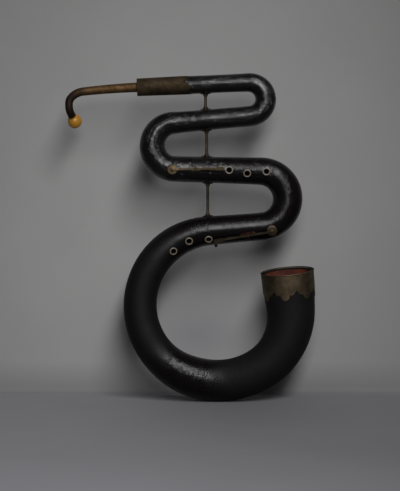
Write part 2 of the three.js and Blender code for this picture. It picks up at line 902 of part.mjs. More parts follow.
function serpent() {
  const horn = new THREE.Group();
  horn.add(...woodHalves(), leatherCover(), receiverSleeve(), receiverSocket());
  horn.add(crookTube(), crookLapping(), mouthpiece());
  horn.add(...bushings(), keyWork(upperKey), keyWork(lowerKey));
  horn.add(...stay(1), ...stay(2), ...stay(3), bellGarland(), bellRim());
  return horn;
}

/** Sets the horn down with the middle of its box over the origin and its lowest point on it. */
function setDown(horn) {
  horn.updateMatrixWorld(true);
  const bounds = new THREE.Box3().setFromObject(horn, true);
  const middle = bounds.getCenter(new THREE.Vector3());
  horn.position.set(-middle.x, -middle.y, -bounds.min.z);
  const group = new THREE.Group();
  group.add(horn);
  group.updateMatrixWorld(true);
  return group;
}

export default setDown(serpent());
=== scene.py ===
"""The looks of a serpent, the folded bass horn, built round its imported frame.

X is to the right, Y away from the viewer and Z up. The courses of the tube and of the crook are
those of the CAD source. The horn is drawn in millimetres and becomes metres where points enter a
mesh, while materials and the stage are in metres.
"""

import math
from types import SimpleNamespace

import bmesh
import bpy
from mathutils import Matrix, Vector, noise
from mathutils.bvhtree import BVHTree


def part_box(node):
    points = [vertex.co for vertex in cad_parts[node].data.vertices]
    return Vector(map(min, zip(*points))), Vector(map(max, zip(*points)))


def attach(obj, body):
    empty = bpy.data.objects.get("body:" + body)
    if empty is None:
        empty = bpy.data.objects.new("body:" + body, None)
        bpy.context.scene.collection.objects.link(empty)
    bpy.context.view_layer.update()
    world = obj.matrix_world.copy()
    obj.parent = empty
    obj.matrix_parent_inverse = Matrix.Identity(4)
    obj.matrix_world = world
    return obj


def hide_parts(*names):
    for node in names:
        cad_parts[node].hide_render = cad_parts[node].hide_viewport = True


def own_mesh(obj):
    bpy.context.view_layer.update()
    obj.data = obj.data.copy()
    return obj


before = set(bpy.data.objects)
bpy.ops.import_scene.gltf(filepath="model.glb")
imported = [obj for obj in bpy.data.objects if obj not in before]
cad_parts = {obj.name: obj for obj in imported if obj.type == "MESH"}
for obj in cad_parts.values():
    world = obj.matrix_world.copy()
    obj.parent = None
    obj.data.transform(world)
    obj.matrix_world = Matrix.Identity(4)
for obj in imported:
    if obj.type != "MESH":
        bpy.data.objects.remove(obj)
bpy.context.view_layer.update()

MM = 0.001  # metres
FULL_TURN = 2 * math.pi
HALF_TURN = math.pi
QUARTER_TURN = math.pi / 2
BACK = -QUARTER_TURN  # the angle round the tube that faces the wall

# Course of the tube: a straight's length or a bow's radius, its turn and its roll
THROAT_RISE = math.radians(2.5)
TUBE_LEGS = [
    (267, 0, 0), (40.4, -177.5, 0), (186, 0, 0), (55.5, 173.5, 0), (207, 0, 0), (66.3, -173.8, 0),
    (129, 0, 0), (179.5, 155.8, 0), (200, 46.5, 0), (155.5, 68.7, 0), (610, 8, 90),
]
# The leather's width at shares of the course
WIDTHS = [
    (0, 40.5), (0.055, 43), (0.11, 43.4), (0.15, 50), (0.2, 49), (0.25, 51.4), (0.3, 60.8),
    (0.35, 61.8), (0.42, 64.5), (0.47, 71), (0.53, 66.5), (0.58, 69.6), (0.63, 76.5), (0.7, 79.2),
    (0.76, 84.4), (0.81, 98.5), (0.85, 100), (0.91, 105), (0.955, 114.8), (0.98, 122.8), (1, 125),
]
LEATHER = 1.2
WOOD_GAP = 0.45
WOOD_WALL = 5.4
TUBE_START = 2.3
LAST_WOOD_START = 1690

# Crook
TENON_DEPTH = 36
CROOK_LEGS = [
    (36.3, 0, 0), (130 / math.radians(4), 4, 0), (45, 40, 0), (22, 44.5, 0), (5, 0, 0),
    (22, 50, -68), (10, 0, 0),
]
TENON_RADIUS = 9.8
CROOK_START_RADIUS = 11.5
CROOK_END_RADIUS = 9
CROOK_WALL = 1.2

# Keys, as in the CAD source
PIVOT_HEIGHT = 9
LEVER_WIDTH = 4.4
LEVER_THICKNESS = 3
BARREL_RADIUS = 3
AXLE_RADIUS = 1.2
COVER_RADIUS = 12.3
COVER_THICKNESS = 2
PAD_RADIUS = 11
PAD_THICKNESS = 4
TOUCH_WIDTH = 8.5
TOUCH_LENGTH = 16
CHEEK = 1.8
CHEEK_LENGTH = 8
FIT = 0.3
SADDLE_THICKNESS = 2
SCREW_INSET = 3
UPPER_KEY = SimpleNamespace(
    name="upper_key", share=0.3613, tilt=-1.5, skew=2.5, cover_reach=55.4, cover_lift=0.2,
    touch_reach=68, saddle=22, tab=0,
)
LOWER_KEY = SimpleNamespace(
    name="lower_key", share=0.5403, tilt=27.5, skew=5.1, cover_reach=58, cover_lift=1.6,
    touch_reach=82.6, saddle=36, tab=16,
)
KEYS = (UPPER_KEY, LOWER_KEY)
TAB_WIDTH = 7
SADDLE_WIDTH = LEVER_WIDTH + 2 * (FIT + CHEEK)


# Courses
def follow(start, leg, travelled):
    place, ahead, left = start
    size, turn, roll = leg
    if turn == 0:
        return place + ahead * travelled, ahead, left
    inward = Matrix.Rotation(roll, 3, ahead) @ left
    side = math.copysign(1, turn)
    turning = Matrix.Rotation(side * travelled / size, 3, ahead.cross(inward))
    centre = place + inward * (side * size)
    return turning @ (place - centre) + centre, turning @ ahead, turning @ left


class Course:
    """A line of straights and bows. It gives a place with its ahead, left and front directions."""

    def __init__(self, start, legs):
        self.parts = []
        self.length = 0
        for size, turn, roll in legs:
            leg = size, math.radians(turn), math.radians(roll)
            length = leg[0] if turn == 0 else abs(leg[1]) * leg[0]
            self.parts.append((self.length, start, leg))
            start = follow(start, leg, length)
            self.length += length

    def at(self, distance):
        begun = [part for part in self.parts if part[0] <= distance] or self.parts[:1]
        begin, start, leg = begun[-1]
        place, ahead, left = follow(start, leg, distance - begin)
        return place, ahead, left, ahead.cross(left)

    def around(self, distance, angle, radius):
        place, _, left, front = self.at(distance)
        x, y = polar(radius, angle)
        return place + left * x + front * y


def tube_course():
    """The lapping is a plain sleeve on the tenon, so the middle of its box lies on the axis."""
    ahead = Vector((math.cos(THROAT_RISE), 0, math.sin(THROAT_RISE)))
    left = Vector((-math.sin(THROAT_RISE), 0, math.cos(THROAT_RISE)))
    low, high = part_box("crook_lapping")
    mouth = (low + high) / (2 * MM) - ahead * (TENON_DEPTH / 2)
    return Course((mouth, ahead, left), TUBE_LEGS)


TUBE = tube_course()
MOUTH, MOUTH_AHEAD, MOUTH_LEFT, _ = TUBE.at(0)
CROOK = Course((MOUTH + MOUTH_AHEAD * TENON_DEPTH, -MOUTH_AHEAD, -MOUTH_LEFT), CROOK_LEGS)


def slope_at(index):
    before = WIDTHS[max(index - 1, 0)]
    after = WIDTHS[min(index + 1, len(WIDTHS) - 1)]
    return (after[1] - before[1]) / (after[0] - before[0])


def smooth(share):
    """Rises from 0 to 1 with a level start and end."""
    return share * share * (3 - 2 * share)


def leather_radius(distance):
    share = min(max(distance / TUBE.length, 0), 1)
    index = max(i for i, (s, _) in enumerate(WIDTHS[:-1]) if s <= share)
    (low, width), (high, next_width) = WIDTHS[index], WIDTHS[index + 1]
    span = high - low
    t = (share - low) / span
    rise = smooth(t)
    leave = t * (1 - t) * (1 - t) * span
    arrive = t * t * (t - 1) * span
    middle = width * (1 - rise) + next_width * rise
    return (middle + slope_at(index) * leave + slope_at(index + 1) * arrive) / 2


def shares(count):
    """From 0 to 1 in even steps."""
    return [i / count for i in range(count + 1)]


def steps(low, high, longest):
    return [low + (high - low) * share for share in shares(math.ceil((high - low) / longest))]


# Meshes
def link(thing):
    bpy.context.scene.collection.objects.link(thing)


class Shape:
    """Collects closed shells, then becomes one piece."""

    def __init__(self, rings=(), **how):
        self.bm = bmesh.new()
        self.uv = self.bm.loops.layers.uv.new("Course")
        if rings:
            self.loft(rings, **how)

    def loft(self, rings, closed=False, along=None, girth=1):
        """Joins rings of points one to the next. A closed loft joins the last to the first, and
        an open one has its two ends filled. The map has a distance along for each ring, and
        the girth across."""
        rows = [[self.bm.verts.new(p * MM) for p in ring] for ring in rings]
        count = len(rows[0])
        for i in range(len(rows) if closed else len(rows) - 1):
            row, after = rows[i], rows[(i + 1) % len(rows)]
            for j in range(count):
                k = (j + 1) % count
                face = self.bm.faces.new((row[j], row[k], after[k], after[j]))
                if along:
                    begin, end = along[i], along[min(i + 1, len(rows) - 1)]
                    low, high = girth * (j / count), girth * ((j + 1) / count)
                    corners = (begin, low), (begin, high), (end, high), (end, low)
                    for loop, corner in zip(face.loops, corners):
                        loop[self.uv].uv = Vector(corner) * MM
        if not closed:
            self.bm.faces.new(rows[0][::-1])
            self.bm.faces.new(rows[-1])

    def lathe(self, profile, matrix, sides, closed=False):
        """Turns radii and heights round the matrix's z axis."""
        self.loft([circle(radius, height, matrix, sides) for radius, height in profile], closed)

    def slab(self, outline, low, high, matrix):
        """An outline in the matrix's x and y, between two heights."""
        self.loft([[matrix @ Vector((x, y, z)) for x, y in outline] for z in (low, high)])

    def soften(self, width, segments, least):
        """Rounds the edges that turn by at least so many degrees."""
        sharp = [e for e in self.bm.edges if e.calc_face_angle(0) > math.radians(least)]
        bmesh.ops.bevel(
            self.bm, geom=sharp, offset=width * MM, segments=segments, profile=0.5, affect="EDGES",
            clamp_overlap=True,
        )

    def cut(self, *cutters):
        """Takes the cutters' shells away from this one."""
        target = self.plain_object("cut_target")
        link(target)
        for cutter in cutters:
            tool = cutter.plain_object("cut_tool")
            link(tool)
            change = target.modifiers.new("cut", "BOOLEAN")
            change.operation = "DIFFERENCE"
            change.solver = "EXACT"
            change.object = tool
        graph = bpy.context.evaluated_depsgraph_get()
        result = bpy.data.meshes.new_from_object(target.evaluated_get(graph))
        self.bm = bmesh.new()
        self.bm.from_mesh(result)
        self.uv = self.bm.loops.layers.uv.active
        for spare in [target, *[m.object for m in target.modifiers]]:
            bpy.data.objects.remove(spare)

    def plain_object(self, name):
        mesh = bpy.data.meshes.new(name)
        bmesh.ops.recalc_face_normals(self.bm, faces=self.bm.faces)
        self.bm.to_mesh(mesh)
        return bpy.data.objects.new(name, mesh)

    def piece(self, name, look, body, slot, nodes=(), sharp=35):
        piece = self.plain_object(name)
        piece.data.materials.append(LOOKS[look])
        piece.data.shade_smooth()
        piece.data.set_sharp_from_angle(angle=math.radians(sharp))
        link(piece)
        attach(piece, body)
        if nodes:
            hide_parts(*nodes)
        return piece


def round_angles(count):
    return [FULL_TURN * i / count for i in range(count)]


def polar(radius, angle):
    return radius * math.cos(angle), radius * math.sin(angle)


def circle(radius, height, matrix, sides):
    return [matrix @ Vector((*polar(radius, a), height)) for a in round_angles(sides)]


def frame_matrix(place, along, out):
    across = out.cross(along)
    matrix = Matrix((along, across, out)).transposed().to_4x4()
    matrix.translation = place
    return matrix


def moved(matrix, x, y=0.0, z=0.0):
    return matrix @ Matrix.Translation((x, y, z))


def seat_on(distance, tilt, skew=0.0):
    """A place on the leather: x along the tube, y across it and z straight out."""
    place, ahead, left, front = TUBE.at(distance)
    out = front * math.cos(tilt) + left * math.sin(tilt)
    along = Matrix.Rotation(skew, 3, out) @ ahead
    return frame_matrix(place + out * leather_radius(distance), along, out)


def key_seat(key):
    tilt, skew = math.radians(key.tilt), math.radians(key.skew)
    return seat_on(key.share * TUBE.length, tilt, skew)


def cover_place(key):
    return key_seat(key) @ Vector((-key.cover_reach, 0, PIVOT_HEIGHT))


def tab_place(key):
    reach = key.touch_reach - TAB_WIDTH / 2
    return key_seat(key) @ Vector((reach, key.tab, PIVOT_HEIGHT))


def ring_on(course, distance, sides, radius):
    """A ring round a course. The radius is a number or a rule of the angle."""
    rule = radius if callable(radius) else lambda angle: radius
    angles = [BACK + angle for angle in round_angles(sides)]
    return [course.around(distance, angle, rule(angle)) for angle in angles]


# Materials
# How cracked and how dull the leather is, by metres along the tube
CRACKED = [
    (0, 1), (0.75, 1), (1.15, 0.35), (1.66, 0.3), (1.71, 0.7), (1.84, 0.7), (1.9, 0.3), (2.2, 0.3),
]
DULL = [(0, 0), (1.33, 0), (1.45, 0.8), (1.65, 0.8), (1.72, 0), (1.8, 0), (1.87, 1), (2.2, 0.9)]
SCUFFS = [(0.035, -0.05, 0.045), (0.07, -0.05, 0.035), (-0.005, -0.05, 0.06)]
SCUFF_REACH = 0.042


def socket_or_value(tree, node, key, value):
    if isinstance(value, bpy.types.NodeSocket):
        tree.links.new(value, node.inputs[key])
    else:
        node.inputs[key].default_value = value


class Look:
    """A procedural material on the Principled shader."""

    def __init__(self, name, **plain):
        self.material = bpy.data.materials.new(name)
        self.material.use_nodes = True
        self.tree = self.material.node_tree
        self.shader = self.tree.nodes["Principled BSDF"]
        for key, value in plain.items():
            self.shader.inputs[key.replace("_", " ")].default_value = value
        self.place = self.node("ShaderNodeTexCoord").outputs["Object"]
        self.course = self.node("ShaderNodeUVMap", uv_map="Course").outputs["UV"]

    def node(self, kind, inputs=None, **settings):
        node = self.tree.nodes.new(kind)
        for key, value in settings.items():
            setattr(node, key, value)
        for key, value in (inputs or {}).items():
            socket_or_value(self.tree, node, key, value)
        return node

    def noise(self, scale, detail=4, roughness=0.55, place=None):
        inputs = {
            "Vector": place or self.place, "Scale": scale, "Detail": detail,
            "Roughness": roughness,
        }
        return self.node("ShaderNodeTexNoise", inputs).outputs["Fac"]

    def cells(self, scale, place=None):
        """How far each point lies from the edge of its cell."""
        inputs = {"Vector": place or self.place, "Scale": scale}
        node = self.node("ShaderNodeTexVoronoi", inputs, feature="DISTANCE_TO_EDGE")
        return node.outputs["Distance"]

    def math(self, operation, a, b=0.0, c=0.0):
        inputs = {0: a, 1: b, 2: c}
        return self.node("ShaderNodeMath", inputs, operation=operation).outputs[0]

    def times(self, a, b):
        return self.math("MULTIPLY", a, b)

    def spread(self, value, low, high, to_low=0.0, to_high=1.0):
        inputs = {0: value, 1: low, 2: high, 3: to_low, 4: to_high}
        return self.node("ShaderNodeMapRange", inputs).outputs[0]

    def blend(self, share, a, b):
        """From colour a to colour b. Each is a socket or its red, green and blue."""
        node = self.node("ShaderNodeMix", {0: share}, data_type="RGBA")
        for key, value in ((6, a), (7, b)):
            colour = value if isinstance(value, bpy.types.NodeSocket) else (*value, 1)
            socket_or_value(self.tree, node, key, colour)
        return node.outputs[2]

    def steps(self, value, stops):
        """A height that changes evenly from stop to stop of a value."""
        far = stops[-1][0]
        ramp = self.node("ShaderNodeValToRGB", {"Fac": self.math("DIVIDE", value, far)})
        elements = ramp.color_ramp.elements
        while len(elements) < len(stops):
            elements.new(1)
        for element, (place, height) in zip(elements, stops):
            element.position = place / far
            element.color = (height, height, height, 1)
        return ramp.outputs["Color"]

    def chance(self, place):
        """A random number for each of the cells at a place."""
        tint = self.node("ShaderNodeTexVoronoi", {"Vector": place, "Scale": 1}).outputs["Color"]
        return self.node("ShaderNodeSeparateColor", {"Color": tint}).outputs["Red"]

    def stretched(self, place, scale):
        inputs = {"Vector": place, "Scale": scale}
        return self.node("ShaderNodeMapping", inputs).outputs["Vector"]

    def warped(self, place, scale, amount):
        """Coordinates pushed about by a coloured noise."""
        inputs = {"Vector": place, "Scale": scale, "Detail": 2}
        push = self.node("ShaderNodeTexNoise", inputs).outputs["Color"]
        inputs = {0: push, 1: (amount,) * 3, 2: place}
        return self.node("ShaderNodeVectorMath", inputs, operation="MULTIPLY_ADD").outputs[0]

    def axis(self, name, place=None):
        inputs = {"Vector": place or self.place}
        return self.node("ShaderNodeSeparateXYZ", inputs).outputs[name]

    def along(self):
        """Metres along the piece's course."""
        return self.axis("X", self.course)

    def near(self, place, reach):
        """1 at a place on the piece, falling to 0 at the reach."""
        inputs = {0: self.place, 1: place}
        far = self.node("ShaderNodeVectorMath", inputs, operation="DISTANCE").outputs["Value"]
        return self.spread(far, 0, reach, 1, 0)

    def bumps(self, *layers):
        """Each layer is a height, its depth in metres and a strength."""
        normal = None
        for height, depth, strength in layers:
            inputs = {"Height": height, "Distance": depth, "Strength": strength}
            if normal:
                inputs["Normal"] = normal
            normal = self.node("ShaderNodeBump", inputs).outputs["Normal"]
        self.tree.links.new(normal, self.shader.inputs["Normal"])
        self.tree.links.new(normal, self.shader.inputs["Coat Normal"])

    def finish(self, colour, roughness, **more):
        inputs = {"Base Color": colour, "Roughness": roughness, **more}
        for key, value in inputs.items():
            socket_or_value(self.tree, self.shader, key.replace("_", " "), value)
        return self.material


def leather_look():
    """Black leather. Handling has left a cracked varnish on the upper branches, and the great bow
    is dull, with scuffs low down."""
    look = Look("black_leather", IOR=1.5, Specular_IOR_Level=0.165, Coat_Roughness=0.14)
    along = look.along()
    plates = look.stretched(look.warped(look.course, 60, 0.006), (210, 120, 1))
    drawn = look.warped(look.place, 60, 0.004)
    cracks = look.spread(look.cells(1, place=plates), 0, 0.1)
    creases = look.spread(look.cells(115, place=drawn), 0, 0.09)
    flakes = look.noise(260, 3, 0.62, place=drawn)
    handled = look.steps(along, CRACKED)
    dull = look.steps(along, DULL)
    patches = look.spread(look.noise(30, 4, 0.6), 0.4, 0.6, 0.35, 1)
    crackle = look.times(handled, patches)
    scuffs = [look.near(place, SCUFF_REACH) for place in SCUFFS]
    scuffed = look.math("MAXIMUM", look.math("MAXIMUM", scuffs[0], scuffs[1]), scuffs[2])
    flecks = look.spread(look.noise(90, 5, 0.7), 0.4, 0.6)
    scuffed = look.times(look.spread(scuffed, 0.1, 0.6), flecks)
    pale = look.spread(look.noise(380, 4, 0.7), 0.56, 0.68)
    pale = look.times(pale, look.math("MAXIMUM", crackle, scuffed))
    black = look.blend(look.noise(9, 3), (0.0011, 0.0007, 0.0009), (0.0022, 0.0014, 0.0016))
    colour = look.blend(look.times(pale, 0.5), black, (0.024, 0.022, 0.021))
    gloss = look.spread(look.noise(40, 4), 0.3, 0.7, 0.26, 0.33)
    gloss = look.math("MULTIPLY_ADD", handled, -0.17, gloss)
    patchy = look.times(look.spread(look.chance(plates), 0.2, 0.9), crackle)
    rough = look.math("MULTIPLY_ADD", patchy, 0.13, look.math("MULTIPLY_ADD", pale, 0.1, gloss))
    rough = look.math("MULTIPLY_ADD", dull, 0.5, rough)
    look.bumps(
        (look.noise(22, 3), 0.0008, 0.4),
        (look.times(creases, crackle), 0.0004, 0.4),
        (look.times(flakes, crackle), 0.0007, 0.6),
        (look.times(cracks, crackle), 0.0006, 0.7),
        (look.noise(1500, 2), 0.00002, 0.5),
    )
    varnish = look.spread(handled, 0.72, 1, 0, 0.36)
    varnish = look.times(varnish, look.math("MULTIPLY_ADD", patchy, -0.8, 1))
    return look.finish(colour, rough, Coat_Weight=varnish)


def year_rings(look):
    drawn = look.stretched(look.warped(look.place, 14, 0.012), (60, 60, 9))
    return look.noise(3.2, 6, 0.6, place=drawn)


def wood_look():
    look = Look("walnut", IOR=1.45)
    bands = year_rings(look)
    pores = look.noise(1, 4, place=look.stretched(look.place, (900, 900, 90)))
    colour = look.blend(bands, (0.06, 0.021, 0.012), (0.15, 0.06, 0.034))
    colour = look.blend(look.spread(pores, 0.55, 0.75), colour, (0.03, 0.012, 0.008))
    look.bumps((pores, 0.0002, 0.4), (bands, 0.0004, 0.2))
    return look.finish(colour, look.spread(bands, 0.3, 0.7, 0.5, 0.65))


def bell_wood_look():
    """Bare wood inside the bell, red-brown, nearly black within a few millimetres of the rim. Its
    course counts from the rim."""
    look = Look("bell_walnut", IOR=1.45, Specular_IOR_Level=0.1)
    bands = year_rings(look)
    stains = look.spread(look.noise(28, 4, 0.6), 0.4, 0.62)
    colour = look.blend(bands, (0.055, 0.014, 0.0085), (0.11, 0.031, 0.019))
    colour = look.blend(look.times(stains, 0.6), colour, (0.016, 0.006, 0.004))
    # Nearly black up to 1.5 millimetres from the rim, fading out by 4
    rim = look.spread(look.along(), 0.0015, 0.004, 1, 0)
    colour = look.blend(rim, colour, (0.004, 0.003, 0.003))
    look.bumps((bands, 0.0004, 0.2))
    return look.finish(colour, look.spread(bands, 0.3, 0.7, 0.55, 0.7))


def brass_look(name, bright, dull, rough, dark=None):
    """Old brass: a bright metal under a brown tarnish that lies in clouds and streaks. Dark is
    painted shade: a place, the reach round it and how much darker the colour is painted there,
    or beyond the reach where the reach is negative."""
    look = Look(name, Metallic=1.0)
    clouds = look.noise(38, 6, 0.62)
    streaks = look.noise(1, 4, place=look.stretched(look.course, (30, 900, 1)))
    film = look.math("MULTIPLY_ADD", streaks, 0.25, look.times(clouds, 0.8))
    colour = look.blend(look.spread(film, 0.42, 0.62), bright, dull)
    # Painted shade: the colour darkens round the place, or beyond it
    if dark:
        place, reach, loss = dark
        close = look.spread(look.near(place, 2 * abs(reach)), 0.45, 0.55)
        close = close if reach > 0 else look.math("SUBTRACT", 1, close)
        colour = look.blend(look.times(close, loss), colour, (0.004, 0.0035, 0.003))
    spots = look.spread(look.noise(300, 3, 0.7), 0.64, 0.72)
    colour = look.blend(look.times(spots, 0.5), colour, (0.02, 0.016, 0.012))
    roughness = look.spread(look.noise(120, 4), 0.3, 0.7, rough - 0.06, rough + 0.1)
    look.bumps((look.noise(700, 3), 0.00005, 0.5), (clouds, 0.0003, 0.25))
    return look.finish(colour, roughness)


def crook_look():
    """The crook darkens from the receiver to the curl: painted shade where it turns from the
    light.
    """
    look = Look("crook_brass", Metallic=1.0)
    along = look.along()
    clouds = look.noise(55, 6, 0.62)
    # Painted shade toward the curl
    slot_or_curl_shade = look.spread(along, 0.13, 0.2)
    share = look.spread(clouds, 0.35, 0.65)
    bright = look.blend(share, (0.135, 0.079, 0.034), (0.07, 0.042, 0.022))
    colour = look.blend(slot_or_curl_shade, bright, (0.025, 0.0165, 0.0135))
    spots = look.spread(look.noise(260, 3, 0.7), 0.6, 0.7)
    colour = look.blend(look.times(spots, 0.6), colour, (0.015, 0.012, 0.01))
    look.bumps((look.noise(500, 3), 0.00006, 0.5), (clouds, 0.0004, 0.3))
    return look.finish(colour, look.spread(clouds, 0.3, 0.7, 0.62, 0.76))


def ivory_look(name, pale, deep, subsurface, painted_bore_shade=False):
    """Old ivory. A ring can have painted shade inside its hole, where its course counts from."""
    look = Look(name, IOR=1.5, Subsurface_Weight=subsurface, Subsurface_Scale=0.002)
    grain = look.stretched(look.warped(look.place, 60, 0.003), (90, 90, 420))
    lines = look.noise(1, 5, 0.6, place=grain)
    clouds = look.noise(70, 4)
    grime = look.spread(look.noise(220, 5, 0.7), 0.56, 0.7)
    share = look.math("ADD", look.times(lines, 0.5), look.times(clouds, 0.5))
    colour = look.blend(share, pale, deep)
    colour = look.blend(look.times(grime, 0.5), colour, (0.05, 0.03, 0.015))
    if painted_bore_shade:
        # Painted shade inside the hole, dark red-brown, up to near its top
        inside = look.spread(look.along(), 0.003, 0.0048, 0.97, 0)
        colour = look.blend(inside, colour, (0.016, 0.006, 0.0035))
    look.bumps((look.noise(900, 3), 0.00004, 0.5), (lines, 0.0001, 0.3))
    return look.finish(colour, look.spread(clouds, 0.3, 0.7, 0.28, 0.42))


def thread_look():
    look = Look("lapping_thread", Sheen_Weight=0.2)
    fibres = look.noise(1, 3, place=look.stretched(look.course, (3000, 600, 1)))
    colour = look.blend(fibres, (0.2, 0.13, 0.06), (0.4, 0.3, 0.17))
    look.bumps((fibres, 0.0001, 0.6))
    return look.finish(colour, look.spread(fibres, 0, 1, 0.75, 0.95))


def pad_look():
    look = Look("pad_leather", Sheen_Weight=0.15)
    grain = look.cells(900)
    colour = look.blend(look.noise(120, 4), (0.035, 0.02, 0.013), (0.08, 0.05, 0.032))
    look.bumps((look.spread(grain, 0, 0.3), 0.0001, 0.5))
    return look.finish(colour, look.spread(grain, 0, 0.4, 0.8, 0.9))


def steel_look():
    look = Look("dark_steel", Metallic=1.0)
    clouds = look.noise(260, 5, 0.65)
    share = look.spread(clouds, 0.4, 0.65)
    colour = look.blend(share, (0.11, 0.1, 0.09), (0.03, 0.018, 0.012))
    look.bumps((look.noise(1200, 3), 0.00004, 0.5))
    return look.finish(colour, look.spread(clouds, 0.3, 0.7, 0.35, 0.65))


# Bright metal, tarnish, roughness and, on two of them, where shade is painted
BRASSES = {
    "aged_brass": ((0.105, 0.079, 0.05), (0.053, 0.041, 0.026), 0.58),
    "sleeve_brass": ((0.06, 0.043, 0.026), (0.028, 0.0205, 0.013), 0.74),
    "key_brass": ((0.07, 0.054, 0.036), (0.028, 0.022, 0.016), 0.5),
    "stay_brass": ((0.05, 0.04, 0.028), (0.016, 0.013, 0.011), 0.55),
    "upper_key_brass": (
        (0.09, 0.066, 0.038), (0.045, 0.033, 0.02), 0.5,
        # Painted shade on the lever and touch, beyond the cover
        (cover_place(UPPER_KEY) * MM, -0.015, 0.55),
    ),
    "lower_key_brass": (
        (0.1, 0.079, 0.049), (0.042, 0.033, 0.022), 0.55,
        # Painted shade round the tab
        (tab_place(LOWER_KEY) * MM, 0.008, 0.85),
    ),
    "upper_key_saddle_brass": ((0.12, 0.092, 0.06), (0.045, 0.03, 0.022), 0.5),
    "lower_key_saddle_brass": ((0.12, 0.045, 0.036), (0.05, 0.014, 0.011), 0.55),
}
# Pale and deep colour, how much light goes in, and whether shade is painted inside
IVORIES = {
    "ivory": ((0.42, 0.35, 0.25), (0.24, 0.18, 0.11), 0.1),
    "ring_ivory": ((0.19, 0.165, 0.13), (0.11, 0.09, 0.065), 0.05, True),
    "amber_ivory": ((0.37, 0.18, 0.012), (0.21, 0.088, 0.005), 0.2),
}
LOOKS = {
    "black_leather": leather_look(),
    "walnut": wood_look(),
    "bell_walnut": bell_wood_look(),
    "crook_brass": crook_look(),
    "lapping_thread": thread_look(),
    "pad_leather": pad_look(),
    "dark_steel": steel_look(),
}
LOOKS |= {name: brass_look(name, *values) for name, values in BRASSES.items()}
LOOKS |= {name: ivory_look(name, *values) for name, values in IVORIES.items()}


def dress_frame():
    """CAD nodes that stay get the material of their own slot."""
    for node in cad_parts.values():
        for slot_or_curl_shade in node.material_slots:
            slot_or_curl_shade.material = LOOKS.get(slot_or_curl_shade.name.split(".")[0], LOOKS["walnut"])


# The leather, and the rays that set things down on it
LEATHER_SIDES = 64
LEATHER_STEP = 7
UNEVEN = 0.22


def uneven_radius(distance):
    """The leather over hand-shaped wood is never quite true."""
    radius = leather_radius(distance)

    def rule(angle):
        place = Vector((distance * 0.018, *polar(1.4, angle)))
        return radius + UNEVEN * noise.noise(place)

    return rule


def leather_tube():
    outside = steps(TUBE_START, TUBE.length, LEATHER_STEP)
    inside = steps(TUBE_START, TUBE.length, LEATHER_STEP * 2)[::-1]
    rings = [ring_on(TUBE, s, LEATHER_SIDES, uneven_radius(s)) for s in outside]
    rings += [ring_on(TUBE, s, LEATHER_SIDES, leather_radius(s) - LEATHER) for s in inside]
    girth = FULL_TURN * leather_radius(TUBE.length / 2)
    return Shape(rings, closed=True, along=outside + inside, girth=girth)


LEATHER_SHAPE = leather_tube()
LEATHER_TREE = BVHTree.FromBMesh(LEATHER_SHAPE.bm)
DROP_HEIGHT = 30


def surface_height(seat, x, y, fallback):
    """How high the leather lies at x and y of a seat, along the seat's own z, or the fallback
    where there is none."""
    start = seat @ Vector((x, y, DROP_HEIGHT))
    down = -(seat.to_3x3() @ Vector((0, 0, 1)))
    hit = LEATHER_TREE.ray_cast(start * MM, down, 3 * DROP_HEIGHT * MM)
    return fallback if hit[0] is None else DROP_HEIGHT - hit[3] / MM


def seated_ring(seat, radius, lift, sides, fallback=0.0, highest=math.inf):
    """A ring that follows the leather. The radius is a number or a rule of the angle."""
    rule = radius if callable(radius) else lambda angle: radius
    points = []
    for angle in round_angles(sides):
        x, y = polar(rule(angle), angle)
        height = min(surface_height(seat, x, y, fallback) + lift, highest)
        points.append(seat @ Vector((x, y, height)))
    return points


# Finger holes and key holes
HOLE_RADIUS = 6.4
KEY_HOLE_RADIUS = 5.5
BARREL_OF_BUSHING = 7.6
COLLAR_RADIUS = 9.2
COLLAR_TOP = 1.8
SEAT_GAP = 0.05
RING_SIDES = 56
UPPER_HOLES = [(0.3975, -1.5), (0.417, -13.5), (0.4378, -2)]
LOWER_HOLES = [(0.583, 36), (0.6063, 22), (0.6282, 25)]


def hole_seat(share, tilt):
    return seat_on(share * TUBE.length, math.radians(tilt))


def hole_cutters():
    bushed = BARREL_OF_BUSHING + FIT / 2
    holes = [(bushed, 4, hole_seat(*hole)) for hole in UPPER_HOLES + LOWER_HOLES]
    for key in KEYS:
        holes.append((KEY_HOLE_RADIUS, 8, moved(key_seat(key), -key.cover_reach)))
    depth = LEATHER + WOOD_WALL + 8
    cutters = []
    for radius, top, seat in holes:
        cutter = Shape()
        cutter.lathe([(radius, -depth), (radius, top)], seat, 40)
        cutters.append(cutter)
    return cutters


def bushing(name, seat):
    """A turned ring: its collar sits down on the leather and its barrel lines the hole."""
    foot, top = -LEATHER - WOOD_WALL, COLLAR_TOP
    upper = [
        (HOLE_RADIUS, foot), (HOLE_RADIUS, foot / 2), (HOLE_RADIUS, top - 1.5),
        (HOLE_RADIUS + 0.1, top - 0.9), (HOLE_RADIUS + 0.35, top - 0.3), (HOLE_RADIUS + 0.8, top),
        (COLLAR_RADIUS - 1.1, top), (COLLAR_RADIUS - 0.45, top - 0.25),
        (COLLAR_RADIUS - 0.1, top - 0.7),
    ]
    seated = [
        (COLLAR_RADIUS, 0.6), (COLLAR_RADIUS - 0.2, SEAT_GAP), (BARREL_OF_BUSHING, SEAT_GAP),
    ]
    rings = [circle(radius, height, seat, RING_SIDES) for radius, height in upper]
    rings += [seated_ring(seat, radius, lift, RING_SIDES) for radius, lift in seated]
    rings.append(circle(BARREL_OF_BUSHING, foot, seat, RING_SIDES))
    shape = Shape(rings, closed=True, along=range(len(rings)))
    node = name.replace("_ring_", "_bushing_")
    shape.piece(name, "ring_ivory", "horn", "ivory", [node])


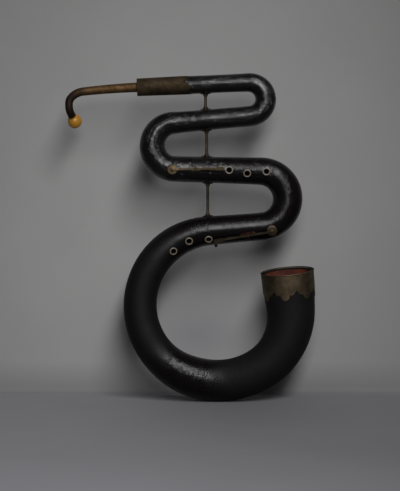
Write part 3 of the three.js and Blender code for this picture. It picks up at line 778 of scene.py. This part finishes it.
def make_body():
    LEATHER_SHAPE.cut(*hole_cutters())
    LEATHER_SHAPE.piece(
        "leather_skin", "black_leather", "horn", "black_leather", ["leather_cover"], 40
    )
    for hand, holes in (("upper", UPPER_HOLES), ("lower", LOWER_HOLES)):
        for i, (share, tilt) in enumerate(holes):
            bushing(f"{hand}_finger_ring_{i + 1}", hole_seat(share, tilt))


# Wood inside the bell
HALF_SIDES = 40
SEAM_GAP = 0.15


def last_wood(name, begin, node):
    """Half of the last walnut length, with its seam in the plane of the horn."""
    shift = Vector((0, SEAM_GAP if begin else -SEAM_GAP, 0))
    angles = [begin + HALF_TURN * share for share in shares(HALF_SIDES)]
    places = steps(LAST_WOOD_START, TUBE.length, 9)
    rings = []
    for s in places:
        outer = leather_radius(s) - LEATHER - WOOD_GAP
        ring = [TUBE.around(s, a, outer) + shift for a in angles]
        ring += [TUBE.around(s, a, outer - WOOD_WALL) + shift for a in reversed(angles)]
        rings.append(ring)
    shape = Shape(rings, along=[TUBE.length - s for s in places])
    shape.piece(name, "bell_walnut", "horn", "walnut", [node])


# Brass at both ends
SIDES_PER_LOBE = 40
SHEET_STEPS = 14
SHEET_GAP = FIT * 0.7
GARLAND_DEPTH = 38
GARLAND_LOBES = 7
GARLAND_LOBE_DEPTH = 26
GARLAND_WALL = 0.8
GARLAND_SEAM = math.radians(98)
BEAD_RADIUS = 1.5
SLEEVE_LENGTH = 114
SLEEVE_LOBES = 5
SLEEVE_LOBE_DEPTH = 16
SLEEVE_WALL = 0.6
SOCKET_DEPTH = 42
SOCKET_WALL = 1.2


def scallop(share):
    """How far a lobe reaches at a share from one notch to the next: a round tip between two
    smaller shoulders."""
    off = abs(2 * share - 1)
    if off < 0.36:
        return 0.58 + 0.42 * math.sqrt(1 - (off / 0.36) ** 2)
    if off < 0.84:
        return 0.2 + 0.3 * math.sqrt(max(0, 1 - ((off - 0.56) / 0.3) ** 2))
    return 0.2 * (1 - off) / 0.16 + 0.05


def brass_sheet(name, node, base, far, lobes, depth, wall, look):
    """A sheet rolled round the leather from base to far, cut to lobes beyond far. The angle is
    counted from the tube's left side, as the CAD counts it."""
    sides = lobes * SIDES_PER_LOBE
    way = 1 if far > base else -1
    ends = [far + way * depth * scallop((i / SIDES_PER_LOBE) % 1) for i in range(sides)]
    order = [(share, SHEET_GAP + wall) for share in shares(SHEET_STEPS)]
    order += [(share, SHEET_GAP) for share in reversed(shares(SHEET_STEPS))]
    rings = []
    for share, lift in order:
        ring = []
        for angle, end in zip(round_angles(sides), ends):
            s = base + (end - base) * share
            ring.append(TUBE.around(s, angle, leather_radius(s) + lift))
        rings.append(ring)
    along = [base + (far - base) * share for share, _ in order]
    shape = Shape(rings, closed=True, along=along, girth=FULL_TURN * leather_radius(base))
    shape.piece(name, look, "horn", "aged_brass", [node], 50)


def lobe_pins(name, lobes, distances, lift, radius):
    """Domed pins under the middle of each lobe, one at each distance."""
    profile = [
        (radius * 0.9, lift - 0.6), (radius, lift), (radius * 0.8, lift + 0.28),
        (radius * 0.35, lift + 0.45), (0.02, lift + 0.5),
    ]
    shape = Shape()
    for lobe in range(lobes):
        middle = FULL_TURN * (lobe + 0.5) / lobes
        for distance in distances:
            shape.lathe(profile, seat_on(distance, QUARTER_TURN - middle), 14)
    shape.piece(name, "key_brass", "horn", "key_brass")


def seam_strip(name, angle, low, high, lift):
    """The soldered overlap of a rolled sheet."""
    half, foot, height = 1.6, lift - 0.3, lift + 0.22
    section = [(half, foot), (half * 0.7, height), (-half * 0.7, height), (-half, foot)]
    rings = []
    for s in steps(low, high, 6):
        seat = seat_on(s, QUARTER_TURN - angle)
        rings.append([seat @ Vector((0, y, z)) for y, z in section])
    Shape(rings).piece(name, "aged_brass", "horn", "aged_brass")


def make_bell():
    end = TUBE.length
    far = end - GARLAND_DEPTH
    brass_sheet(
        "garland_sheet", "bell_garland", end, far, GARLAND_LOBES, GARLAND_LOBE_DEPTH,
        GARLAND_WALL, "aged_brass",
    )
    place, ahead, left, _ = TUBE.at(end)
    middle = leather_radius(end) + GARLAND_WALL
    bead = [polar(BEAD_RADIUS, a) for a in round_angles(16)]
    profile = [(middle + x, FIT + BEAD_RADIUS + y) for x, y in bead]
    shape = Shape()
    shape.lathe(profile, frame_matrix(place, left, ahead), 112, closed=True)
    shape.piece("garland_bead", "aged_brass", "horn", "aged_brass", ["bell_rim"])
    lift = GARLAND_WALL + 0.1
    distances = (far - GARLAND_LOBE_DEPTH * 0.75, end - 7)
    lobe_pins("garland_pins", GARLAND_LOBES, distances, lift, 0.95)
    seam_strip("garland_seam", GARLAND_SEAM, far + 1, end - 1, lift)
    last_wood("wood_last_front", 0, "walnut_length_5_front")
    last_wood("wood_last_back", HALF_TURN, "walnut_length_5_back")


def make_receiver():
    brass_sheet(
        "receiver_sheath", "receiver_sleeve", 0, SLEEVE_LENGTH, SLEEVE_LOBES, SLEEVE_LOBE_DEPTH,
        SLEEVE_WALL, "sleeve_brass",
    )
    distances = (SLEEVE_LENGTH + SLEEVE_LOBE_DEPTH * 0.7, 6)
    lobe_pins("sleeve_pins", SLEEVE_LOBES, distances, SLEEVE_WALL + 0.1, 0.8)
    plate = leather_radius(0)
    bore = TENON_RADIUS + 2 * FIT + SOCKET_WALL
    liner = plate - LEATHER - WOOD_GAP - WOOD_WALL - FIT
    rows = [
        (0.5, bore), (0, bore + 0.5), (0, plate - 0.7), (0.3, plate - 0.1), (1, plate),
        (2, plate), (2, liner), (SOCKET_DEPTH, liner), (SOCKET_DEPTH, bore),
    ]
    shape = Shape([ring_on(TUBE, s, 64, radius) for s, radius in rows], closed=True)
    shape.piece("receiver_plate", "sleeve_brass", "horn", "aged_brass", ["receiver_socket"])


# Crook and mouthpiece
CROOK_SIDES = 40
CROOK_SHOULDER = TENON_DEPTH + FIT
CROOK_BEAD = 0.72  # the tip is beaded where the mouthpiece goes in
THREAD_TURNS = 34
THREAD_LENGTH = 28
THREAD_ROUND = ((0.08, 0.86), (0.3, 1.14), (0.7, 1.14), (0.92, 0.86))
CUP_OUTSIDE = [
    (10.1, 0.7), (10.1, 1.6), (9.7, 2.1), (9.9, 2.8), (11.1, 4.1), (12.8, 5.9), (14.2, 7.9),
    (15.4, 10.3), (16.3, 13), (16.8, 15.5), (17, 17.7), (16.9, 19.9), (16.5, 22), (15.9, 24.2),
    (15.3, 25.8), (14.9, 26.9), (14.5, 27.6), (13.9, 28),
]
CUP_INSIDE = [
    (13.1, 27.9), (12.4, 27.5), (11.9, 26.7), (11.5, 24.9), (11.3, 22), (10.9, 19), (10, 16.2),
    (8.6, 13.9), (6.6, 11.7), (4.6, 10.1), (3.2, 9), (2.8, 8.1), (3, 5.4), (3.6, 0),
]


def crook_radius(distance):
    share = (distance - CROOK_SHOULDER) / (CROOK.length - CROOK_SHOULDER)
    return CROOK_START_RADIUS + (CROOK_END_RADIUS - CROOK_START_RADIUS) * share


def crook_wall(rows):
    """A hollow tube on the crook's course, from rows of distance, outer and inner radius."""
    outer = [ring_on(CROOK, distance, CROOK_SIDES, out) for distance, out, _ in rows]
    inner = [ring_on(CROOK, distance, CROOK_SIDES, inside) for distance, _, inside in rows]
    along = [row[0] for row in rows + rows[::-1]]
    return Shape(outer + inner[::-1], closed=True, along=along, girth=FULL_TURN * rows[0][1])


def make_crook():
    inner = TENON_RADIUS - CROOK_WALL
    rows = [(0, TENON_RADIUS - 0.3, inner), (0.4, TENON_RADIUS, inner)]
    rows += [(s, TENON_RADIUS, inner) for s in steps(4, CROOK_SHOULDER - 0.1, 8)]
    rows += [(CROOK_SHOULDER, TENON_RADIUS + 1, inner)]
    for s in steps(CROOK_SHOULDER + 0.2, CROOK.length - 0.4, 3):
        radius = crook_radius(s)
        to_tip = CROOK.length - s
        bead = CROOK_BEAD * math.exp(-((to_tip - 2.4) / 1.7) ** 2)
        rows.append((s, radius + bead, min(radius, TENON_RADIUS) - CROOK_WALL))
    crook_wall(rows).piece("crook_pipe", "crook_brass", "crook", "crook_brass", ["crook"], 50)


def make_lapping():
    """Thread wound on the tenon, turn beside turn."""
    pitch = THREAD_LENGTH / THREAD_TURNS
    begin = (TENON_DEPTH - THREAD_LENGTH) / 2
    inner = TENON_RADIUS + FIT
    rows = []
    for turn in range(THREAD_TURNS):
        for step, height in THREAD_ROUND:
            rows.append((begin + pitch * (turn + step), inner + height, inner))
    body, slot = "crook_lapping", "lapping_thread"
    crook_wall(rows).piece("crook_thread", slot, body, slot, [body], 80)


def make_mouthpiece():
    place, ahead, left, _ = CROOK.at(CROOK.length)
    shank = CROOK_END_RADIUS - CROOK_WALL - FIT
    lower = [(4.4, -9), (shank - 0.3, -9), (shank, -8.6), (shank, 0.3), (9.7, 0.3)]
    seat = frame_matrix(place, left, ahead)
    shape = Shape()
    shape.lathe(lower + CUP_OUTSIDE + CUP_INSIDE, seat, 64, closed=True)
    shape.piece("mouthpiece_cup", "amber_ivory", "mouthpiece", "ivory", ["mouthpiece"], 60)


# Screws and keys
def box_outline(x_low, x_high, half):
    return [(x_low, -half), (x_high, -half), (x_high, half), (x_low, half)]


def slotted_screw(name, seat, low, radius, height, node=None, shank=None):
    """A slotted head that stands at low. The shank is a radius and the height of its end."""
    profile = [
        (radius * 0.96, low), (radius, low + 0.1), (radius, low + height * 0.5),
        (radius * 0.84, low + height * 0.82), (radius * 0.5, low + height),
        (0.02, low + height * 1.04),
    ]
    shape = Shape()
    shape.lathe(profile, seat, 24)
    slot = Shape()
    outline = box_outline(-radius * 1.3, radius * 1.3, radius * 0.14)
    turned = seat @ Matrix.Rotation(0.5, 4, "Z")
    slot.slab(outline, low + height * 0.55, low + height * 2, turned)
    shape.cut(slot)
    if shank:
        thickness, end = shank
        shape.lathe([(thickness, end), (thickness, low + 0.1)], seat, 16)
    shape.piece(name, "dark_steel", "horn", "dark_steel", [node] if node else [])


def rounded_outline(length, width, radius):
    """A rectangle with round corners, middle at the origin."""
    points = []
    for qx, qy, start in ((1, 1, 0), (-1, 1, 1), (-1, -1, 2), (1, -1, 3)):
        for share in shares(6):
            x, y = polar(radius, (start + share) * QUARTER_TURN)
            points.append((qx * (length / 2 - radius) + x, qy * (width / 2 - radius) + y))
    return points


def touch_root(key):
    return key.touch_reach - TOUCH_LENGTH - TOUCH_WIDTH


def touch_outline(key):
    """Seen from above, the waist swells to the spoon in a smooth curve."""
    half, waist = TOUCH_WIDTH / 2, LEVER_WIDTH / 2
    upper = []
    for share in shares(8):
        x = touch_root(key) + TOUCH_WIDTH * share
        upper.append((x, waist + (half - waist) * smooth(share)))
    for share in shares(8):
        y, x = polar(half, QUARTER_TURN * share)
        upper.append((key.touch_reach - half + x, y))
    return upper + [(x, -y) for x, y in reversed(upper[:-1])]


def cover_bottom(key):
    return PAD_THICKNESS + key.cover_lift - PIVOT_HEIGHT


def sideways(pivot):
    """The pivot with its z along the axle."""
    return pivot @ Matrix.Rotation(QUARTER_TURN, 4, "X")


def key_arm(key, pivot):
    shape = Shape()
    reach = key.cover_reach
    half, width = LEVER_THICKNESS / 2, LEVER_WIDTH / 2
    shape.slab(box_outline(-reach, touch_root(key) + 2, width), -half, half, pivot)
    # The touch is thinner underneath, so that it stays off the leather when pressed
    shape.slab(touch_outline(key), 0.2 - half, half, pivot)
    if key.tab:
        tab = rounded_outline(TAB_WIDTH, key.tab, 2.5)
        at = moved(pivot, key.touch_reach - TAB_WIDTH / 2, key.tab / 2)
        shape.slab(tab, 0.25 - half, half * 0.98, at)
    shape.soften(0.8, 3, 60)
    barrel = [
        (BARREL_RADIUS - 0.3, -width), (BARREL_RADIUS, -width + 0.3),
        (BARREL_RADIUS, width - 0.3), (BARREL_RADIUS - 0.3, width),
    ]
    shape.lathe(barrel, sideways(pivot), 28)
    bottom, rim = cover_bottom(key), COVER_RADIUS
    top = bottom + COVER_THICKNESS
    cover = [
        (rim - 0.3, bottom), (rim, bottom + 0.3), (rim, top - 0.9), (rim - 0.35, top - 0.4),
        (rim - 1.1, top - 0.1), (rim * 0.7, top + 0.1), (width + 1.2, top + 0.2),
        (width + 0.2, top + 0.8), (width, half - 0.5), (width - 0.5, half), (0.05, half),
    ]
    shape.lathe(cover, moved(pivot, -reach), 56)
    name = key.name
    shape.piece(f"{name}_arm", f"{name}_brass", name, "key_brass", [f"{name}_lever"])


def key_cushion(key, pivot):
    """A soft disc whose face takes the round of the tube."""
    disc = moved(pivot, -key.cover_reach)
    top = cover_bottom(key) - 0.2
    sides = 48
    upper = [(0.5, top), (PAD_RADIUS * 0.8, top), (PAD_RADIUS - 0.5, top), (PAD_RADIUS, top - 0.6)]
    seated = [
        (PAD_RADIUS, 0.9), (PAD_RADIUS - 0.5, 0.35), (PAD_RADIUS * 0.75, 0.3),
        (PAD_RADIUS * 0.5, 0.3), (0.5, 0.3),
    ]
    highest = top - 0.5
    rings = [circle(radius, height, disc, sides) for radius, height in upper]
    for radius, lift in seated:
        rings.append(seated_ring(disc, radius, lift, sides, -PIVOT_HEIGHT, highest))
    name, slot = key.name, "pad_leather"
    piece = Shape(rings).piece(f"{name}_cushion", slot, name, slot, [f"{name}_pad"])


def key_leaf(key, pivot):
    """The flat spring under the lever, bowed down toward the tube."""
    top = -LEVER_THICKNESS / 2 - FIT
    root, tip = 5, key.touch_reach * 0.6
    thickness = 0.6
    drop = PIVOT_HEIGHT + top - 2 * FIT - thickness
    rings = []
    for share in shares(24):
        x = root + (tip - root) * share
        z = top - drop * share * share
        half = 1.8 - 0.5 * share
        section = [(-half, z - thickness), (half, z - thickness), (half, z), (-half, z)]
        rings.append([pivot @ Vector((x, y, height)) for y, height in section])
    name, slot = key.name, "dark_steel"
    leaf = Shape(rings).piece(f"{name}_leaf", slot, name, slot, [f"{name}_spring"])
    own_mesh(leaf)


def key_bracket(key, pivot):
    """A plate bent to the tube with two cheeks that hold the axle."""
    outline = rounded_outline(key.saddle, SADDLE_WIDTH, 2.4)
    top = -PIVOT_HEIGHT + SADDLE_THICKNESS
    seated = [
        pivot @ Vector((x, y, surface_height(pivot, x, y, -PIVOT_HEIGHT) + 0.1))
        for x, y in outline
    ]
    shape = Shape([seated, [pivot @ Vector((x, y, top)) for x, y in outline]])
    cheek = [polar(BARREL_RADIUS, HALF_TURN * share) for share in shares(12)]
    half, foot, neck = CHEEK_LENGTH / 2, top - 0.5, -3.4
    cheek += [(-half, neck), (-half, foot), (half, foot), (half, neck)]
    inner = LEVER_WIDTH / 2 + FIT
    for low in (inner, -inner - CHEEK):
        shape.slab(cheek, low, low + CHEEK, sideways(pivot))
    shape.soften(0.3, 2, 50)
    name = key.name
    look = f"{name}_saddle_brass"
    shape.piece(f"{name}_bracket", look, "horn", "key_brass", [f"{name}_saddle"])


def make_key(key):
    name = key.name
    pivot = moved(key_seat(key), 0, 0, PIVOT_HEIGHT)
    key_arm(key, pivot)
    key_cushion(key, pivot)
    key_leaf(key, pivot)
    key_bracket(key, pivot)
    half = (SADDLE_WIDTH + FIT) / 2
    profile = [
        (0.4, -half - 0.3), (AXLE_RADIUS * 0.8, -half), (AXLE_RADIUS, -half + 0.3),
        (AXLE_RADIUS, half - 0.3), (AXLE_RADIUS * 0.8, half), (0.4, half + 0.3),
    ]
    shape = Shape()
    shape.lathe(profile, sideways(pivot), 20)
    shape.piece(f"{name}_pin", "dark_steel", "horn", "dark_steel", [f"{name}_axle"])
    low = -PIVOT_HEIGHT + SADDLE_THICKNESS + FIT * 0.3
    reach = key.saddle / 2 - SCREW_INSET
    shank = (1.1, -PIVOT_HEIGHT - 6)
    for end, x in (("inner", -reach), ("outer", reach)):
        slotted_screw(
            f"{name}_screw_{end}", moved(pivot, x), low, 2.2, 1.35,
            f"{name}_saddle_screw_{end}", shank,
        )


# Stays
STAY_REACH = 164.4
STAY_STEP = 2.6
STAY_RADIUS = 3.8
FLANGE_RADIUS = 10.5
FLANGE = 2
BOSS_RADIUS = 5.6
BOSS_HEIGHT = 5
FOOT_SIDES = 56
FOOT_SCREWS = 4
SCREW_CIRCLE = 9.2


def straight_place(branch, x):
    """The distance along the tube where a straight branch passes an x."""
    straights = [part for part in TUBE.parts if part[2][1] == 0]
    begin, (place, ahead, _), _ = straights[branch]
    return begin + (x - place.x) / ahead.x


def flange_radius(angle):
    return FLANGE_RADIUS * (1 + 0.18 * math.cos(4 * angle))


def stay_foot(name, distance, toward, node):
    """A lobed flange that follows the leather, and a boss that takes the rod."""
    place, ahead, _, _ = TUBE.at(distance)
    along = (ahead - toward * toward.dot(ahead)).normalized()
    seat = frame_matrix(place + toward * leather_radius(distance), along, toward)
    top = FLANGE + BOSS_HEIGHT
    socket = STAY_RADIUS + 0.15
    flange = [  # share of the outline, how far in from it, and lift
        (0.3, 0, SEAT_GAP), (0.7, 0, SEAT_GAP), (1, 0.2, SEAT_GAP), (1, 0, 0.7),
        (1, 0.3, 1.3), (1, 0.9, 1.7), (0.75, 0, 1.9),
    ]
    boss = [
        (BOSS_RADIUS + 0.9, 2.3), (BOSS_RADIUS + 0.2, 3), (BOSS_RADIUS - 0.1, 4.2),
        (BOSS_RADIUS, top - 1.2), (BOSS_RADIUS - 0.2, top - 0.5), (BOSS_RADIUS - 0.8, top),
        (socket, top), (socket, FLANGE + 0.3), (0.5, FLANGE + 0.3),
    ]
    rings = []
    for share, inset, lift in flange:
        def rule(angle):
            return (flange_radius(angle) - inset) * share

        rings.append(seated_ring(seat, rule, lift, FOOT_SIDES, -FLANGE))
    rings += [circle(radius, height, seat, FOOT_SIDES) for radius, height in boss]
    Shape(rings).piece(name, "stay_brass", "horn", "key_brass", [node])
    for i, angle in enumerate(round_angles(FOOT_SCREWS)):
        x, y = polar(SCREW_CIRCLE, angle)
        height = surface_height(seat, x, y, -FLANGE)
        aside = surface_height(seat, x * 1.05, y * 1.05, -FLANGE) - height
        lean = Vector((x * 0.05, y * 0.05, aside)).normalized()
        out = seat.to_3x3() @ lean.cross(Vector((-y, x, 0))).normalized()
        out = out if out.dot(toward) > 0 else -out
        pin = frame_matrix(seat @ Vector((x, y, height)), out.orthogonal().normalized(), out)
        slotted_screw(f"{name}_screw_{i + 1}", pin, 1.4, 1.5, 0.9)


def make_stay(number):
    """A turned rod between two feet."""
    name = f"stay_{number}"
    x = MOUTH.x + STAY_REACH + STAY_STEP * (number - 1)
    above, below = straight_place(number - 1, x), straight_place(number, x)
    top, bottom = TUBE.at(above)[0], TUBE.at(below)[0]
    down = (bottom - top).normalized()
    inset = FLANGE + 2 * FIT
    low = leather_radius(above) + inset
    high = (bottom - top).length - leather_radius(below) - inset
    seat = frame_matrix(top, down.orthogonal().normalized(), down)
    shape = Shape()
    profile = [(STAY_RADIUS - 0.3, low), (STAY_RADIUS, low + 0.3)]
    for z in steps(low + BOSS_HEIGHT, high - BOSS_HEIGHT, 6):
        share = (z - low) / (high - low)
        profile.append((STAY_RADIUS - 0.5 * math.sin(HALF_TURN * share) ** 0.5, z))
    profile += [(STAY_RADIUS, high - 0.3), (STAY_RADIUS - 0.3, high)]
    shape.lathe(profile, seat, 32)
    shape.piece(f"{name}_bar", "stay_brass", "horn", "key_brass", [f"stay_rod_{number}"])
    stay_foot(f"{name}_upper_foot", above, down, f"stay_foot_{number}_upper")
    stay_foot(f"{name}_lower_foot", below, -down, f"stay_foot_{number}_lower")


# Stage, window and camera
WALL_Y = 0.16
STAGE_Z = -0.0005
STAGE_REACH = 6.0
COVE_RADIUS = 0.02
COVE_STEPS = 8
BLACK = (0, 0, 0)
PAPER = (0.2445, 0.2415, 0.24)
# Painted shade darkens the paper where the floor turns up into the wall, and the floor is painted
# lighter toward the wall
FOOT_PAINTED_SHADE = (0.153, 0.151, 0.155)
COVE_PAINTED_SHADE = (0.13, 0.128, 0.133)
FLOOR = (0.168, 0.164, 0.178)
FLOOR_BACK_PAINTED_LIGHTER = (0.203, 0.199, 0.212)
LIT_SIDE = ((-0.45, 0, 0), (1, 0, 0))
WINDOW_PLACE = Vector((0.6, -3.0, 2.1))
WINDOW_TARGET = Vector((0.6, 0, 0.9))
WINDOW_SIZE = (0.8, 2.8)
WINDOW_WATTS = 140
WINDOW_LEAN = math.radians(-25)
ROOM_GREY = (0.2, 0.2, 0.2, 1)
ROOM_STRENGTH = 0.6
CAMERA_PLACE = (0.0236, -3.27, 0.3735)
LENS = 100
SENSOR_WIDTH = 36


def stage_look(name):
    """Grey paper with light and shade painted into its colour: painted light that falls off to the
    sides and corners, painted shade in the cove and behind the great bow, and a painted shadow on
    the floor in front of the horn. It is seen through from behind, so that it hides nothing. A
    middle is counted in the scaled coordinates, and fall says how quickly the light or the shade
    ends round it."""
    look = Look(name)

    def near(middle, scale, fall):
        inputs = {0: look.stretched(look.place, scale), 1: middle}
        far = look.node("ShaderNodeVectorMath", inputs, operation="DISTANCE").outputs["Value"]
        return look.math("EXPONENT", look.times(look.math("POWER", far, 2), -fall))

    # Painted light: full colour at the middle, darkening outward to no less than 0.4 of it
    def lit(middle, scale, fall, paper):
        return look.blend(look.math("MAXIMUM", near(middle, scale, fall), 0.4), BLACK, paper)

    def shaded(middle, scale, fall, loss, paper, shade=BLACK):
        return look.blend(look.times(near(middle, scale, fall), loss), paper, shade)

    height = look.axis("Z")
    front = lit(*LIT_SIDE, 0.75, FLOOR)
    back = lit(*LIT_SIDE, 0.34, FLOOR_BACK_PAINTED_LIGHTER)
    # Painted shade in the cove, darkest low down
    foot = look.blend(look.spread(height, 0.001, 0.018), COVE_PAINTED_SHADE, FOOT_PAINTED_SHADE)
    foot = lit(*LIT_SIDE, 0.23, foot)
    # The floor is painted lighter toward the wall
    ground = look.blend(look.spread(look.axis("Y"), -0.8, WALL_Y - COVE_RADIUS), front, back)
    ground = look.blend(look.spread(height, -0.0006, 0.0025), ground, foot)
    # Painted shadow on the floor in front of the horn
    ground = shaded((0.1, -0.038, 0), (1, 0.38, 0), 21, 0.3, ground)
    # Painted light on the wall, lighter in the middle and falling off to the sides and corners
    wall = lit((-0.12, 0, 0.163), (1, 0, 0.74), 0.95, PAPER)
    # Painted shade on the wall behind the great bow, a little blue
    wall = shaded((0.007, 0, 0.15), (0.6, 0, 1), 200, 0.26, wall, (0, 0, 0.035))
    paper = look.blend(look.spread(height, 0.002, 0.082), ground, wall)
    mottle = look.spread(look.noise(5, 3), 0.3, 0.7, 0.95, 1)
    material = look.finish(look.blend(mottle, BLACK, paper), 0.9)
    behind = look.node("ShaderNodeNewGeometry").outputs["Backfacing"]
    clear = look.node("ShaderNodeBsdfTransparent").outputs[0]
    mixed = look.node("ShaderNodeMixShader", {0: behind, 1: look.shader.outputs[0], 2: clear})
    look.tree.links.new(mixed.outputs[0], look.tree.nodes["Material Output"].inputs["Surface"])
    return material


def make_stage():
    cove_y, cove_z = WALL_Y - COVE_RADIUS, STAGE_Z + COVE_RADIUS
    profile = [(-STAGE_REACH, STAGE_Z), (-1.0, STAGE_Z), (cove_y, STAGE_Z)]
    for share in shares(COVE_STEPS)[1:]:
        z, y = polar(COVE_RADIUS, QUARTER_TURN * share)
        profile.append((cove_y + y, cove_z - z))
    profile += [(WALL_Y, 1.0), (WALL_Y, STAGE_REACH)]
    verts = [(x, y, z) for y, z in profile for x in (-STAGE_REACH, STAGE_REACH)]
    faces = [(i, i + 1, i + 3, i + 2) for i in range(0, len(verts) - 2, 2)]
    mesh = bpy.data.meshes.new("backdrop")
    mesh.from_pydata(verts, [], faces)
    mesh.materials.append(stage_look("backdrop"))
    mesh.shade_smooth()
    backdrop = bpy.data.objects.new("backdrop", mesh)
    link(backdrop)


def make_light():
    """A tall window that leans to the right, and the grey of the room."""
    data = bpy.data.lights.new("window", "AREA")
    data.shape = "RECTANGLE"
    data.size, data.size_y = WINDOW_SIZE
    data.energy = WINDOW_WATTS
    window = bpy.data.objects.new("window", data)
    window.location = WINDOW_PLACE
    window.rotation_euler = (WINDOW_TARGET - WINDOW_PLACE).to_track_quat("-Z", "Y").to_euler()
    window.rotation_euler.rotate_axis("Z", WINDOW_LEAN)
    window.visible_camera = False
    link(window)
    world = bpy.data.worlds.new("room")
    world.use_nodes = True
    sky = world.node_tree.nodes["Background"]
    sky.inputs["Color"].default_value = ROOM_GREY
    sky.inputs["Strength"].default_value = ROOM_STRENGTH
    bpy.context.scene.world = world
    bpy.context.scene.view_settings.view_transform = "Standard"


def make_camera():
    data = bpy.data.cameras.new("camera")
    data.lens = LENS
    data.sensor_width = SENSOR_WIDTH
    camera = bpy.data.objects.new("camera", data)
    camera.location = CAMERA_PLACE
    camera.rotation_euler = (QUARTER_TURN, 0, 0)
    link(camera)
    bpy.context.scene.camera = camera


dress_frame()
make_body()
make_bell()
make_receiver()
make_crook()
make_lapping()
make_mouthpiece()
for one_key in KEYS:
    make_key(one_key)
for stay_number in (1, 2, 3):
    make_stay(stay_number)
make_stage()
make_light()
make_camera()
